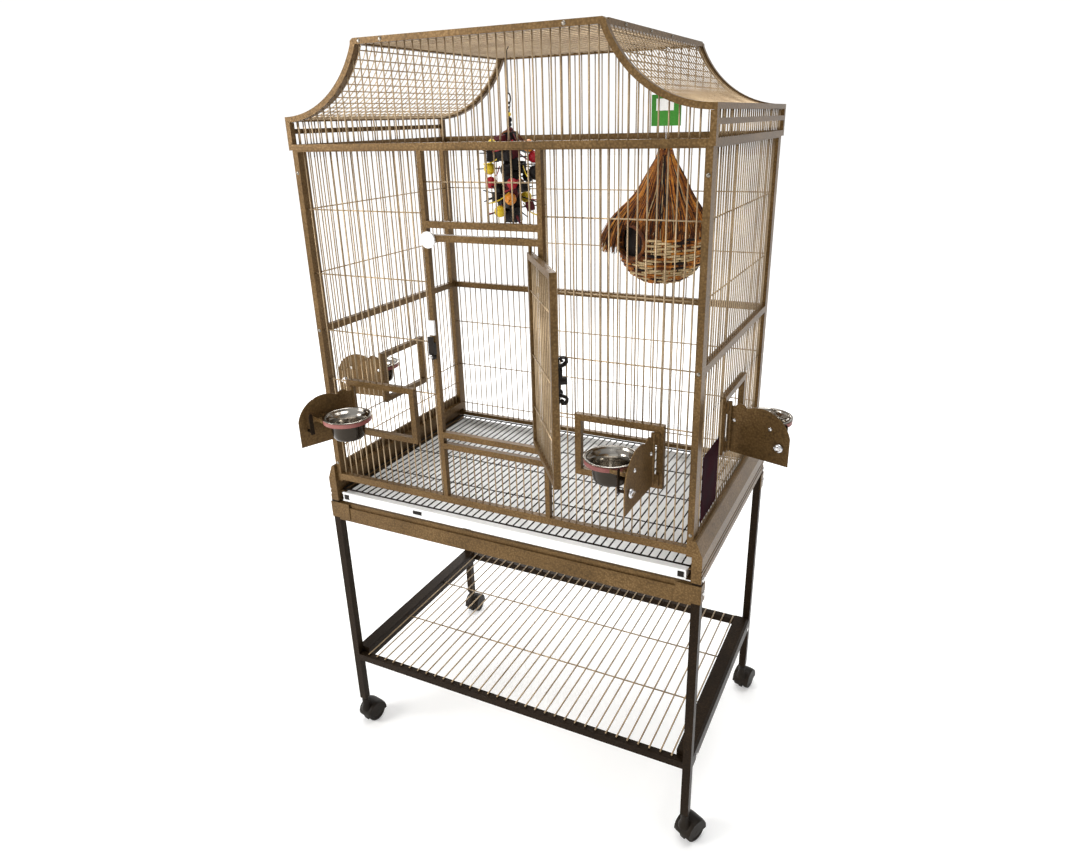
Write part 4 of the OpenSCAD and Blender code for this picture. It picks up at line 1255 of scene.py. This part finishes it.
def ring(b, z, wide, high, r, n, count, across=(1, 0)):
    """An oval link round the height z, as a closed wire of radius r."""
    pts = []
    for t in [2 * PI * i / count for i in range(count)]:
        out = wide * math.cos(t)
        pts.append(on_axis(z) + Vector((across[0] * out, across[1] * out, high * math.sin(t))))
    b.tube(pts, r, n, closed=True)


def toy_hanger():
    """Beads on a rod, two links, a ring and the hook over the roof wire."""
    b = Build()
    black, maroon, yellow = range(3)
    for z, r, look in ((1407, 7, maroon), (1418, 4.5, black), (1427, 5.5, black), (1437, 4, yellow)):
        b.look = look
        ball(b, on_axis(z), r, None, 20)
    b.look = black
    b.tube([on_axis(1388), on_axis(1441)], 1.4, 8)
    ring(b, 1446, 2.8, 5.4, 1.0, 6, 20, (0, 1))
    ring(b, 1454, 2.8, 5.4, 1.0, 6, 20)
    ring(b, 1466, 4.2, 9.5, 1.5, 8, 24)
    pts = [on_axis(1474), on_axis(1500), on_axis(TOY_Z - 9)]
    b.tube(pts + hook(TOY_X, TOY_Y, TOY_Z - 1.0, 4.0, 0.4, 17), 0.8, 8)
    b.piece("toy_hanger", "toy", [toy_black, toy_maroon, toy_yellow])


toy_body()
toy_lacing()
toy_hanger()

# ---- floor, light, camera


def studio_floor():
    """A plain pale floor that glows as painted light, a little stronger away from the cage."""
    m = Mat("studio_floor", Roughness=0.6)
    m.colour(m.ramp(m.noise(1.3), [(0.3, (0.86, 0.86, 0.855)), (0.7, (0.90, 0.90, 0.895))]))
    m.bump(m.noise(90.0), 0.03, 0.0005)
    # the floor's glow is painted light, weaker near the cage and stronger farther off
    away = m.node("ShaderNodeVectorMath", operation="LENGTH")
    m.link(m.place, away.inputs[0])
    m.link(m.spread(away.outputs["Value"], 1.1, 2.6, 0.24, 0.64), m.shader.inputs["Emission Color"])
    m.shader.inputs["Emission Strength"].default_value = 1.0
    me = bpy.data.meshes.new("studio_floor")
    me.from_pydata([(-30, -30, 0), (30, -30, 0), (30, 30, 0), (-30, 30, 0)], [], [(0, 1, 2, 3)])
    me.materials.append(m.material)
    ground = bpy.data.objects.new("studio_floor", me)
    bpy.context.scene.collection.objects.link(ground)


def studio_world():
    """Soft white surroundings, dimmer towards +x and overhead."""
    world = bpy.data.worlds.new("studio")
    world.use_nodes = True
    tree = world.node_tree
    aim = tree.nodes.new("ShaderNodeTexCoord")
    part = tree.nodes.new("ShaderNodeSeparateXYZ")
    both = tree.nodes.new("ShaderNodeMath")
    both.operation = "MULTIPLY"
    tree.links.new(aim.outputs["Generated"], part.inputs[0])
    fades = {"X": (0.20, 0.85, 1.0, 0.42), "Z": (0.14, 0.40, 1.06, 0.60)}
    for i, (axis, fade) in enumerate(fades.items()):
        n = tree.nodes.new("ShaderNodeMapRange")
        for k, value in enumerate(fade):
            n.inputs[k + 1].default_value = value
        tree.links.new(part.outputs[axis], n.inputs["Value"])
        tree.links.new(n.outputs[0], both.inputs[i])
    background = tree.nodes["Background"]
    background.inputs["Color"].default_value = (1.0, 1.0, 1.0, 1.0)
    tree.links.new(both.outputs[0], background.inputs["Strength"])
    bpy.context.scene.world = world


def area(name, at, aim, size, watts, colour=(1, 1, 1)):
    d = bpy.data.lights.new(name, "AREA")
    d.size, d.energy, d.color = size, watts, colour
    o = bpy.data.objects.new(name, d)
    bpy.context.scene.collection.objects.link(o)
    o.location = at
    o.rotation_euler = (Vector(aim) - Vector(at)).to_track_quat("-Z", "Y").to_euler()


def camera(at, turn, down, roll):
    """In front of the cage and to its right, looking down on it. Angles are in degrees."""
    cam = bpy.data.cameras.new("camera")
    cam.sensor_width, cam.sensor_fit = 36.0, "HORIZONTAL"
    cam.lens = 25.66
    cam.shift_x, cam.shift_y = -0.0055, -0.0045
    cam.clip_end = 200
    o = bpy.data.objects.new("camera", cam)
    bpy.context.scene.collection.objects.link(o)
    pose = Matrix.Translation(at)
    for degrees, axis in ((turn, "Z"), (90 - down, "X"), (roll, "Z")):
        pose = pose @ Matrix.Rotation(math.radians(degrees), 4, axis)
    o.matrix_world = pose
    bpy.context.scene.camera = o


studio_floor()
studio_world()
area("key", (-2.9, -2.9, 2.3), (0, 0, 0.9), 1.8, 125, (1.0, 0.985, 0.96))
area("top", (0.2, 0.3, 3.9), (0, 0, 1.0), 2.4, 88)
area("rim", (-1.7, 3.2, 2.4), (0, 0, 1.0), 1.6, 35)
camera((0.7173, -1.440, 1.424), 26.896, 21.694, -1.583)
bpy.context.scene.view_settings.view_transform = "Standard"
